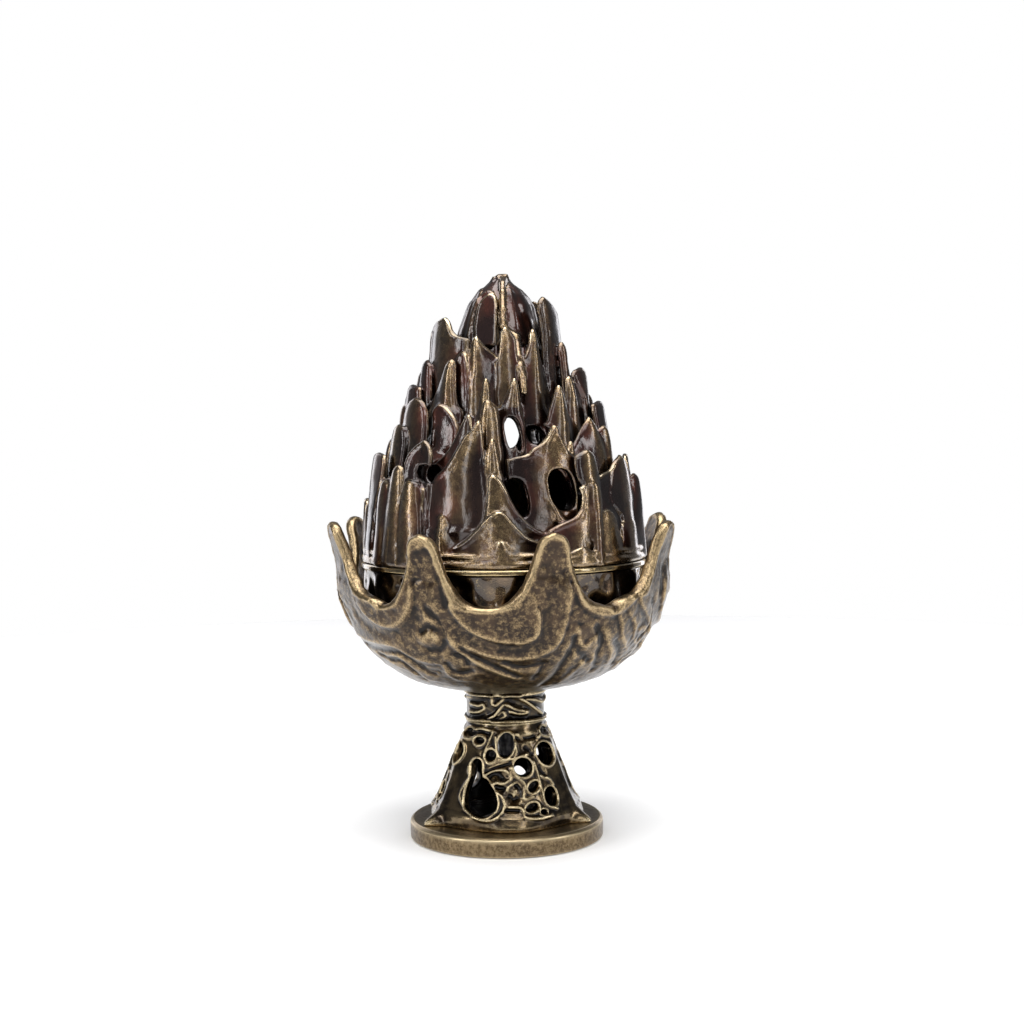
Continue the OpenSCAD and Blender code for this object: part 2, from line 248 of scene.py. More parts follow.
# rock leaves of the front: angle, tip height, radius, length, ridge height, ridge width, lean, wear of
# the ridge, rounding of the sides, sideways run of the ridge, then the left and the right flank as pairs of depth below the tip and half width
LEAVES = [
    (-1, 94.9, 44, 9, 0.7, 3.0, -0.03, 1.2, 0.3, 0, ((0.8, 1), (2.1, 2.3), (3.8, 4.3), (5.2, 7.4), (6.2, 10.9)), ((0.7, 1), (2.1, 2.2), (3.7, 4.2), (4.9, 6.7), (5.8, 9.5))),
    (-30.5, 91.3, 43.8, 6, 0.6, 3.4, -0.02, 1.2, 0.3, 0, ((0.3, 1.4), (1.5, 3.6), (3.1, 7.4)), ((0.2, 1.7), (1.3, 3.6), (2.7, 7.4))),
    (32, 92.2, 43.8, 7, 0.6, 3.4, -0.02, 1.2, 0.3, 0, ((0.3, 1.7), (1.5, 4.4), (2.8, 8.2), (3.5, 11.8)), ((0.4, 1.8), (1.7, 4.7), (3.1, 9.6), (4.3, 15.3))),
    (-2, 103.0, 43, 16, 1.0, 5.5, 0.02, 1.2, 0.3, 0, ((1, 2), (1.5, 2.8), (3.1, 4.6), (5.3, 6.3), (8.1, 9.3), (10, 12.3), (10.9, 15)), ((0.2, 1.7), (0.9, 2.5), (2.3, 3.6), (5.1, 5.9), (7.5, 8.4), (8.8, 11.5), (9.6, 15.7))),
    (-25.5, 102.1, 41.8, 16, 1.0, 2.4, 0.08, 1.1, 0.8, 0, ((0.4, 1), (4, 1.4), (8, 1.8)), ((0.1, 1), (0.3, 1.9), (1.8, 4.3), (2.8, 6.9), (3.4, 9.7))),
    (47.5, 102.5, 42.2, 16, 0.9, 5, 0.06, 1.2, 0.6, 0, ((0.2, 1.6), (0.7, 3.5), (2.4, 4.4), (5.9, 4.9), (10.2, 5.7)), ((0.5, 1.9), (2.5, 3.7), (5.2, 4.7), (9.7, 6.6), (13.1, 9.1))),
    (64, 99.1, 43, 13, 0.8, 4, 0.02, 1, 0.6, 0, ((0.1, 3.7), (0.3, 5.1), (2.9, 6.2), (6.1, 6.3)), ((0.1, 3.7), (0.3, 5.1), (2.9, 6.2), (6.1, 6.3))),
    (-90, 105.6, 43, 16, 0.8, 4.5, 0.02, 0.1, 0.5, 0, ((0.5, 2), (1.5, 3), (4, 3.9), (9, 5), (14, 6.6), (17, 9)), ((0.5, 2), (1.5, 3), (4, 3.9), (9, 5), (14, 6.6), (17, 9))),
    (-41.5, 111.8, 42, 27, 1.1, 3.6, 0.07, 1.1, 0.7, 0, ((0.4, 1.7), (2.9, 2.6), (8.7, 3.2), (18.9, 4)), ((0.1, 2), (1.1, 3.7), (5.7, 4.5), (11.4, 5.2), (18.6, 5.8))),
    (-4, 113.3, 41, 28, 1.3, 4.0, 0.02, 1.2, 0.3, 0, ((0.7, 1.4), (4.4, 1.6), (10, 2), (12.9, 2.7), (15.7, 5.1)), ((0.6, 1.4), (1.9, 2.5), (3.6, 3.6), (7.3, 5.3), (9.8, 6.7), (11.6, 7.8), (14.4, 10.6), (16.2, 13.5), (17.3, 16.5), (17.8, 19.6))),
    (36, 109.7, 41, 24, 0.6, 4.0, 0.02, 1.1, 0.3, 0, ((0.5, 2.2), (2.7, 1.3), (6.6, 1.7), (9.2, 4), (11, 9), (12.8, 12.7)), ((0.9, 1.1), (3.2, 2.2), (7.3, 3.7), (11.7, 4.9), (16.1, 5.2))),
    (40.5, 111.3, 41.8, 30, 0.9, 3.0, 0.08, 1, 1.2, 0, ((0.5, 2), (2.7, 2.9), (7.3, 3), (9.9, 2.1)), ((0.6, 1.6), (3.1, 2.7), (7.5, 2.8), (10, 2))),
    (82.5, 112.4, 41.8, 26, 1.7, 3, 0.08, 0.3, 1, 0, ((0.5, 2), (1.5, 3), (4, 3.9), (9, 5), (14, 6.6), (17, 9)), ((0.5, 2), (1.5, 3), (4, 3.9), (9, 5), (14, 6.6), (17, 9))),
    (-49.5, 116.1, 41, 30, 1.2, 3.4, 0.11, 1.1, 0.7, 0, ((0.9, 2.6), (4.4, 4.2), (10.4, 5.4), (22.2, 7)), ((0.9, 1.9), (4.4, 2.9), (10.2, 3.3), (21.8, 3.5))),
    (-71, 119.7, 40.2, 32, 0.6, 6, 0.11, 0.4, 0.6, 0, ((0.3, 5.1), (3.4, 6.4), (8.2, 6.1), (14.2, 4.4), (23.2, 3.3)), ((0.3, 5.1), (3.4, 6.4), (8.2, 6.1), (14.2, 4.4), (23.2, 3.3))),
    (39.5, 119.9, 39.6, 27, 0.9, 3.4, 0.11, 1, 0.9, 0, ((0.5, 2.3), (2.2, 4.5), (5, 4.7), (8.7, 4.2), (11.7, 2.2)), ((0.5, 2), (2.2, 3.2), (6, 3.8), (10.4, 4.2))),
    (64, 118.2, 40, 28, 0.9, 4.2, 0.11, 1, 0.6, 0, ((1.9, 4), (4.7, 6.9), (7.6, 8), (11.7, 9.7), (14.1, 9.1), (18.1, 4.7)), ((1.9, 4), (4.7, 6.9), (7.6, 8), (11.7, 9.7), (14.1, 9.1), (18.1, 4.7))),
    (90, 118.5, 38.8, 28, 1.0, 4, 0.11, 0, 0.3, 0, ((0.5, 2), (1.5, 3), (4, 3.9), (9, 5), (14, 6.6), (17, 9)), ((0.5, 2), (1.5, 3), (4, 3.9), (9, 5), (14, 6.6), (17, 9))),
    (-4.5, 123.6, 37.8, 20, 2.0, 3.2, 0.1, 1.1, 0.9, 0, ((0.8, 1), (3.4, 2), (6.8, 3), (10.5, 3.6)), ((1, 1.1), (2.6, 1.5), (6.3, 2.3), (9.1, 2.6), (11.4, 3.6))),
    (-10.5, 128.9, 37.8, 42, 1.3, 4.4, 0.12, 0.95, 0.5, -0.42, ((1.3, 1.1), (3.1, 2.2), (4.1, 4), (6.1, 5.3), (8.8, 6.8), (11.5, 8.6), (14.1, 10.7), (16.1, 13.5), (17.7, 16.3), (19, 18.4), (21.6, 18.9), (26, 18.9), (28.9, 18.9)), ((1.2, 1.1), (3.3, 1.3), (6.1, 1.6), (10.1, 2), (17.3, 2.7), (23, 3.3), (25.2, 3.5))),
    (24.5, 127.3, 36.8, 37, 0.9, 5.0, 0.04, 1.1, 0.3, 0, ((1, 1.1), (3.3, 2.3), (5.6, 4.4), (6.8, 6.8), (8.4, 8.3), (9.2, 10.4), (9.3, 12.1), (9.5, 14.4)), ((1.6, 1.2), (5.4, 3.2), (8, 4.9), (9.2, 6.3), (9.9, 7.8))),
    (34.5, 122.5, 36.2, 26, 1.6, 2.2, 0.05, 1, 0.3, 0, ((0.6, 1.1), (2.6, 1.8), (5.5, 2.2)), ((0.6, 0.9), (2.6, 1.4), (6.1, 2.1))),
    (-37, 123.3, 38.2, 26, -0.7, 4, 0.1, 0.3, 0.2, 0, ((1.4, 2.8), (3.7, 5.3), (6.7, 6.6), (9.3, 6.8), (11.6, 6.4)), ((0.9, 1.8), (2.6, 3.2), (5.2, 3.9), (8.7, 3.5))),
    (-16.5, 130.5, 34.8, 30, 1.2, 3.2, 0.11, 0.3, 0.3, 0, ((1, 1.1), (2.7, 2.2), (5.6, 3.6), (9, 5.6), (11.9, 8), (14.2, 11.2)), ((0.7, 1), (2.8, 1.3), (6.2, 1.6), (10.2, 2))),
    (-7.5, 134.9, 33.2, 30, 2.2, 4.4, 0.1, 1.1, 1.2, 0, ((0.7, 1.3), (2.9, 1.9), (6.2, 2.3), (11.8, 2.5)), ((0.7, 1.4), (2.3, 3), (4.9, 3.7), (7.8, 3.9), (11.9, 4.3), (16.2, 4.9))),
    (51, 129.6, 34.2, 28, 1.6, 3.4, 0.11, 1, 0.7, 0.36, ((1.3, 1.5), (4.1, 3.4), (6.3, 5.2), (8.9, 7.2), (10.7, 9.5)), ((1.9, 2.1), (5.5, 5.7), (8.5, 10.5), (11.4, 17.1))),
    (64, 127.1, 35, 26, 1.8, 2.8, 0.11, 1, 0.9, 0, ((0.9, 2.2), (3.3, 3.6), (6.8, 4.9)), ((0.9, 2.2), (3.3, 3.6), (6.8, 4.9))),
    (-55.5, 136.0, 32, 32, 1.0, 7.0, 0.11, 0.6, 1.1, 0, ((0.7, 2.9), (2.7, 5.2), (5, 6.3), (9.8, 6.8), (14.2, 7), (18, 7.7)), ((0.7, 2.9), (2.7, 5.2), (5, 6.3), (9.8, 6.8), (14.2, 7), (18, 7.7))),
    (-62.5, 128.2, 35.6, 28, 1.0, 4.0, 0.11, 1, 0.8, 0, ((0.9, 3.4), (4.2, 5), (7.8, 5.2), (11.3, 4.9)), ((0.9, 3.4), (4.2, 5), (7.8, 5.2), (11.3, 4.9))),
    (-9.5, 141.2, 28.8, 26, 2.0, 2.4, 0.11, 1, 0.8, 0, ((0.9, 1), (3.9, 1.4), (7.1, 2.1), (9.7, 2.5), (11.2, 3.3)), ((0.9, 1.1), (3.7, 1.4), (6, 1.6), (7.7, 1.8), (9.2, 2.9))),
    (7.5, 141.0, 29.4, 34, 2.4, 2.8, 0.11, 0.8, 0.5, 0, ((1, 1.1), (3.8, 2.1), (6.5, 3.6), (8.1, 4.5), (9.2, 6.2)), ((0.7, 1), (2.9, 1.3), (5.2, 1.7), (9.3, 2.2), (13.7, 3.1))),
    (36, 139.2, 29.6, 32, 2.0, 2.8, 0.11, 1, 0.8, 0, ((1.2, 1.1), (4.4, 2.2), (7.9, 3.5), (10.9, 4.2), (12.6, 6.1)), ((0.9, 1), (2.9, 1.9), (5.9, 2.8), (8.5, 3.7), (10, 5.6))),
    (79, 134.6, 31.4, 30, 1.4, 4, 0.11, 0, 0.8, 0, ((0.9, 5.1), (3.5, 6.2), (7.4, 5.9)), ((0.9, 5.1), (3.5, 6.2), (7.4, 5.9))),
    (-77, 140.3, 28.8, 30, 1.4, 5, 0.11, 0.3, 1, 0, ((0.8, 5.3), (2.8, 6.1), (6.2, 7.5), (9.8, 8.9)), ((0.8, 5.3), (2.8, 6.1), (6.2, 7.5), (9.8, 8.9))),
    (-36.5, 147.2, 25.8, 36, 1.6, 3.6, 0.11, 1, 1.1, 0, ((0.7, 1.4), (2.6, 2.8), (5.2, 4), (8.4, 5.6), (11.3, 7.7), (13.3, 10.8), (14.3, 12.9)), ((0.8, 1.3), (2.7, 1.8), (6.3, 2.1), (10.7, 2.4), (13.7, 3), (15.8, 5))),
    (-41, 133.9, 29, 24, 0.5, 6, 0.11, 0.1, 0.3, 0, ((1.4, 2.1), (2.3, 2.4), (5.9, 1.6), (10, 2), (12.4, 2.2)), ((0.7, 2.7), (2.5, 4.9), (4.8, 6.9), (7.8, 8.2))),
    (-50.5, 112.8, 40.3, 24, 0.3, 8, 0.11, 0.2, 0.3, 0, ((0.7, 10.2), (2.3, 20.1), (3.8, 20.1)), ((0.5, 5.5), (2, 8.7), (3.4, 11.6))),
    (55, 113.8, 39.4, 24, 0.3, 8, 0.11, 0.2, 0.3, 0, ((0.8, 4.2), (2.7, 7.8), (4.7, 10.3)), ((0.7, 6.8), (3, 19.7), (5.2, 19.7))),
    (-31, 149.6, 22.6, 30, 0.6, 5, 0.11, 0.2, 0.3, 0, ((0.8, 1.4), (3.2, 2.6), (7.9, 3.5), (12.9, 4.4)), ((0.9, 1.4), (3.3, 2.3), (8.1, 2.9), (13.1, 3.5))),
    (-59, 111.6, 41.6, 26, 1.0, 3.4, 0.09, 0.7, 0.6, 0, ((0.4, 2.2), (2.9, 3.3), (11.7, 3.9), (19, 4.3)), ((0.4, 2.2), (2.9, 3.3), (11.7, 3.9), (19, 4.3))),
    (63.5, 140.9, 25.2, 26, 0.3, 6, 0.11, 0.2, 0.3, 0, ((1.3, 3.3), (3.7, 5), (6.1, 6)), ((1.3, 3.3), (3.7, 5), (6.1, 6))),
    (-18, 167.4, 10.9, 17, -0.7, 3.0, 0.26, 0.1, 0.1, 0, ((1, 1.7), (2.7, 3.1), (5.4, 3.9), (9.3, 4.4), (13.9, 4)), ((0.8, 1.9), (3.3, 2.7), (8.1, 3), (13.5, 3.2))),
    (18, 169.3, 9.2, 18, 0.9, 2.6, 0.34, 0.2, 0.8, 0, ((0.9, 1.1), (4, 2.1), (7.6, 2.4), (13, 2.3)), ((1.2, 1.6), (3.9, 3), (7.5, 4.1), (13.5, 4.8))),
    (42, 166.1, 10, 16, 0.8, 2.4, 0.3, 0.2, 0.9, 0, ((1.3, 1.6), (4.3, 2.3), (9.8, 2.8)), ((1.4, 1.8), (4.7, 3.3), (9.5, 4.6))),
    (-42.5, 166.6, 10.6, 17, 0.8, 2.4, 0.3, 0.4, 0.9, 0, ((1.1, 1.6), (4.3, 3.3), (9.7, 4.9)), ((1.6, 1.4), (5.3, 2), (10.8, 2.3))),
    (-53, 165.8, 10.8, 17, 0.7, 3, 0.3, 0.3, 0.9, 0, ((1.1, 1.8), (4.6, 3.4), (9.2, 6)), ((1.3, 1.4), (5, 2.2), (9.3, 2.6))),
    (-71, 147.6, 24.8, 32, 1.4, 4.5, 0.11, 0.2, 1, 0, ((1.4, 2.7), (4.4, 3.8), (9.3, 4.7), (12.9, 5.2)), ((1.4, 2.7), (4.4, 3.8), (9.3, 4.7), (12.9, 5.2))),
    (73, 144.8, 26.2, 32, 1.6, 4.5, 0.11, 0.5, 1, 0, ((0.8, 3.9), (2.8, 5.7), (4.9, 5.4), (6.9, 3.7), (9.2, 1.9)), ((0.8, 3.9), (2.8, 5.7), (4.9, 5.4), (6.9, 3.7), (9.2, 1.9))),
    (52.5, 141.9, 26.6, 28, 1.8, 2.6, 0.11, 1, 0.9, 0, ((0.6, 1.3), (3, 1.8), (6, 2.1), (9, 3.1)), ((0.6, 1.3), (2.9, 2.2), (5.9, 3), (8.9, 4.6))),
    (-20, 153.9, 22, 34, 2.4, 3.0, 0.11, 1, 0.6, 0, ((0.7, 1.3), (2.9, 2), (6.4, 2.4), (9.4, 2.6), (11.1, 4), (12.6, 5.8)), ((1.5, 1.2), (3.5, 2.9), (5.3, 5), (6.8, 6.7), (7.3, 7.6), (7.6, 9.7))),
    (3, 156.7, 20.6, 30, 0.8, 3.0, 0.11, 1, 0.3, 0, ((1.5, 1.2), (3.5, 1.4), (5.3, 1.5), (7.7, 1.8), (9.9, 2), (10.6, 3.2)), ((0.6, 1), (2.1, 2.4), (4.2, 3.5), (7.7, 3.8), (11.6, 4.1))),
    (28.5, 156.1, 20.8, 34, 2.2, 2.4, 0.11, 0.9, 0.6, 0, ((1.2, 1.1), (4.6, 1.5), (7.6, 2.6), (10.3, 3.9), (13.3, 5.3)), ((1.2, 1.1), (4.6, 1.5), (8.7, 2.4), (12.9, 4), (17.3, 5.8), (18.5, 8.1))),
    (59, 152.4, 22.4, 32, 1.8, 3.0, 0.11, 0.6, 0.9, 0, ((1, 1.5), (3.1, 2.1), (6.1, 1.9), (9.5, 2), (12.7, 2.3), (17.5, 2.7)), ((1, 1.5), (3.1, 2.1), (6.1, 1.9), (9.5, 2), (12.7, 2.3), (17.5, 2.7))),
    (-52, 159.9, 21.8, 38, 1.0, 7, 0.06, 0.8, 0.5, 0, ((0.3, 3.9), (1.8, 8.5), (3.8, 10.9), (7.8, 10.9), (11.9, 10.9), (15.9, 10.9), (21.7, 10.9)), ((0.9, 1.7), (2.6, 2.6), (4.3, 3.6), (5.5, 5), (6.3, 6.9), (6.6, 9.3))),
    (47.5, 166.0, 18.2, 40, 0.7, 4.5, 0.11, 0.5, 0.8, 0, ((1, 1.6), (2.8, 2.6), (4.7, 2.8), (7, 2.3), (11.2, 2.1), (14.5, 2.4), (18.4, 2.8)), ((0.8, 2), (2.1, 5), (4.5, 8.7), (8.2, 9.1), (12.2, 9.1), (17.8, 9.1))),
]

# smoke vents: angle, height, half width, half height, how far out from the dome they are cut
VENTS = [
    (6.8, 106.3, 3.0, 5.5, 5), (27.8, 108.4, 4.3, 6.0, 6.4), (6.6, 124.3, 2.4, 5.2, 7), (24.3, 124.2, 2.4, 2.7, 6), (-35, 113.4, 2.9, 2.6, 11),
    (-66, 108, 2.8, 4, 6), (70, 109, 2.6, 4, 6),
    (105, 109, 2.8, 4.4, 9), (128, 114, 2.8, 4, 8), (152.5, 124.1, 1.7, 2.4, 7), (174, 125.3, 3.2, 5.0, 14), (183, 106.3, 3.0, 5.2, 4),
    (161, 108.4, 3.4, 5.6, 4), (212, 123, 2.4, 3.6, 7), (228, 114, 3, 3.6, 9), (254, 111, 2.8, 4, 8), (130, 139, 2, 3, 6), (200, 148, 1.8, 2.6, 6),
    (280, 126, 2.2, 3, 4),
]

DOME_Z = [83, 88.3, 89.3, 91, 93, 96, 100, 104, 110, 116, 122, 128, 134, 140, 146, 152, 157, 162, 166, 170, 176]
DOME_R = [42.6, 43.2, 42.3, 40.8, 39.3, 37.3, 35.4, 33.7, 31.0, 28.4, 25.6, 22.6, 19.6, 16.8, 14.2, 12.2, 10.6, 8.8, 6.8, 4.0, 0.4]
FILL_Z = [90, 97, 116, 128, 140, 150, 158]
FILL_R = [0, 4.9, 4.7, 2.9, 1.6, 0.6, 0]
CAVE_Z = [80, 89, 93, 96, 100, 104, 110, 116, 122, 128, 134, 140, 146, 150, 152, 180]
CAVE_R = [38.7, 38.7, 36.8, 34.9, 33.0, 31.3, 28.7, 26.1, 23.3, 20.3, 17.2, 14.2, 10.6, 6, 0, -20]


def back_leaves():
    """The rear is cast like the front, mirrored, with small shifts of its own."""
    rng = np.random.default_rng(7)
    out = []
    for a, zt, r0, length, bulge, bw, lean, worn, roll, drift, left, right in LEAVES:
        j = rng.random(4)
        if abs(a) > 84 or (118 < zt < 133 and 5 < a < 21):
            continue
        side = 1 if abs(a) > 48 else 0
        k = 0.92 + 0.2 * j[2] - 0.16 * side * j[3]
        zz = zt + 2.4 * (j[0] - 0.5) * (0.2 if zt < 100 else 1) - (4.5 * side * j[3] if zt < 150 else 0)
        out.append((188 - a + (5 + 5 * side) * (j[1] - 0.5), zz, r0 - 0.3 * (zz - zt), length, bulge, bw, lean, worn, roll, -drift,
                    tuple((v, w * k) for v, w in right), tuple((v, w * k) for v, w in left)))
    return out


# leaves that close the two sides: angle, tip height, radius, share of width
SIDES = [
    (94, 160.5, 16.0, 1.0), (84, 152, 19.4, 0.9), (104, 151, 19.4, 0.9), (94, 143.5, 24.6, 1.0), (86.5, 137, 27.8, 0.9), (102, 137.5, 27.6, 1.0),
    (94, 129.5, 31.4, 1.1), (96, 121, 33.2, 1.0), (100, 114, 39.8, 1.0), (87, 106, 42.4, 0.9), (98, 104, 42.6, 1.0),
    (-86, 158, 20.0, 1.1), (-76, 152, 21.4, 0.9), (-96, 151, 21.4, 0.9), (-86, 144.5, 25.4, 1.0), (-94, 137, 29.4, 1.0), (-80, 134.5, 31.0, 0.9),
    (-92, 127, 33.8, 1.1), (-84, 117.5, 39.2, 1.0), (-96, 113, 40.4, 1.0), (-80, 104.5, 42.4, 0.9),
]


def side_leaves():
    out = []
    for i, (a, zt, r0, k) in enumerate(SIDES):
        pairs = [tuple((v, w * k * (1 + 0.12 * math.sin(2.3 * i + j + v))) for v, w in ((0.6, 1.5), (2, 2.5), (5, 3.3), (10, 4.2), (16, 5.2))) for j in (0, 2)]
        out.append((a, zt, r0, 26, 1.5, 3.0, min(0.11, (43.4 - r0) / 20), 0.7, 0.8, 0.25 * math.sin(1.7 * i), *pairs))
    return out


def flank(z, zt, pairs):
    """Half width of a leaf at the heights z, and its slope."""
    v = np.array([0.0] + [p[0] for p in pairs])
    w = np.array([0.0] + [p[1] for p in pairs])
    fine = np.arange(-3, 60, 0.1)
    ww = np.interp(fine, v, w)
    ww = np.convolve(np.pad(ww, 6, mode="edge"), np.ones(13) / 13, "valid")
    ww = np.where(fine < 0.4, np.minimum(ww, w[1] * np.sqrt(np.clip(fine / 0.4, 0, 1))), ww)
    return np.interp(zt - z, fine, ww).astype(F), np.interp(zt - z, fine, np.gradient(ww, fine)).astype(F)


def leaf(g, a, zt, r0, length, bulge, bw, lean, worn, roll, drift, left, right):
    a = math.radians(a)
    reach = max(left[-1][1], right[-1][1]) + 4
    er = np.array([math.sin(a), -math.cos(a)])
    et = np.array([math.cos(a), math.sin(a)])
    cs = [er * (r0 + n) + et * u for n in (-14, 7) for u in (-reach, reach)]
    lo = np.min(cs, 0)
    hi = np.max(cs, 0)
    s, x, y, z = g.window((lo[0], lo[1], zt - length - 2), (hi[0], hi[1], zt + 3))
    r = np.sqrt(x * x + y * y)
    t = np.arctan2(x, -y) - F(a)
    t = (t + F(math.pi)) % F(2 * math.pi) - F(math.pi)
    u = t * r
    v = F(zt) - z
    vv = np.maximum(v, 0)
    wl, sl = flank(g.ax[2][s[2]], zt, left)
    wr, sr = flank(g.ax[2][s[2]], zt, right)
    au = np.abs(u)
    out = np.where(u < 0, (au - wl) / np.sqrt(1 + sl * sl), (au - wr) / np.sqrt(1 + sr * sr))
    out = np.where(v < 0, np.hypot(au, v), out)
    wd = F(bw) * (1 + vv / 26)
    uc = u - F(drift) * np.minimum(vv, 14)
    e = np.exp(-((uc / wd) ** 2))
    rm = F(r0) - F(1.1 * bulge) * (1 - e) + F(lean) * np.minimum(vv, 28) - 0.5 * np.exp(-vv / 2.5)
    rm = rm + (0.2 if roll > 0.5 else 0.36) * min(1, max(0, (bw - 2.8) / 1.2)) * np.exp(-(((out + 0.8) / 0.7) ** 2))
    rm = rm + F(roll) * (0.55 - np.exp(np.minimum(out, 0) / 1.3))
    rm = rm + 0.012 * np.sin(2.1 * u + 0.16 * vv + F(40 * a)) * (1 - np.exp(np.minimum(out, 0) / 0.9))
    th = 1.1 + 2.0 * (1 - np.exp(np.minimum(out, 0) / 2.6))
    dn = np.abs(r - rm + th * 0.5) - th * 0.5
    dn = dn / np.sqrt(1 + (2.2 * bulge * uc / wd**2 * e) ** 2)
    d = smax(out, dn, F(0.65))
    d = smax(d, v - F(length), F(1.5))
    mark = worn * np.exp(-((uc / ((0.9 if worn > 1 else 0.6) * wd)) ** 2)) * np.exp(-vv / 26)
    # band just inside the leaf outline, painted as a glint by the lid finish
    rim = (0.45 if roll > 0.65 else 1.0) * np.exp(-(((out + 0.3) / 0.5) ** 2)) * np.exp(-vv / 26)
    near = d < g.d[s]
    g.tag[s] = np.where(near, mark, g.tag[s])
    g.rim[s] = np.where(near, rim, g.rim[s])
    g.d[s] = smin(g.d[s], d.astype(F), F(0.35))


def tube(g, p0, p1, r0, r1, k, worn=0.8):
    """Adds a tapered round bar from p0 to p1."""
    p0, p1 = np.array(p0, float), np.array(p1, float)
    m = max(r0, r1) + 2
    s, x, y, z = g.window(np.minimum(p0, p1) - m, np.maximum(p0, p1) + m)
    ax = p1 - p0
    q = np.clip(((x - p0[0]) * ax[0] + (y - p0[1]) * ax[1] + (z - p0[2]) * ax[2]) / (ax @ ax), 0, 1)
    d = np.sqrt((x - p0[0] - q * ax[0]) ** 2 + (y - p0[1] - q * ax[1]) ** 2 + (z - p0[2] - q * ax[2]) ** 2) - (r0 + (r1 - r0) * q)
    near = d < g.d[s]
    g.tag[s] = np.where(near, worn, g.tag[s])
    g.rim[s] = np.where(near, 0, g.rim[s])
    g.d[s] = smin(g.d[s], d.astype(F), F(k))


def wobble(g, seed, step, amp):
    """Soft random unevenness of a casting, added to the distances."""
    rng = np.random.default_rng(seed)
    out = 0
    q = [(a - a[0]) / step for a in g.ax]
    n = [int(v[-1]) + 3 for v in q]
    c = rng.standard_normal(n).astype(F)
    for k in range(3):
        i = q[k].astype(int)
        f = (q[k] - i).astype(F)
        f = f * f * (3 - 2 * f)
        sh = [1, 1, 1]
        sh[k] = -1
        f = f.reshape(sh)
        c = np.take(c, i, k) * (1 - f) + np.take(c, i + 1, k) * f
    g.d += F(amp) * c


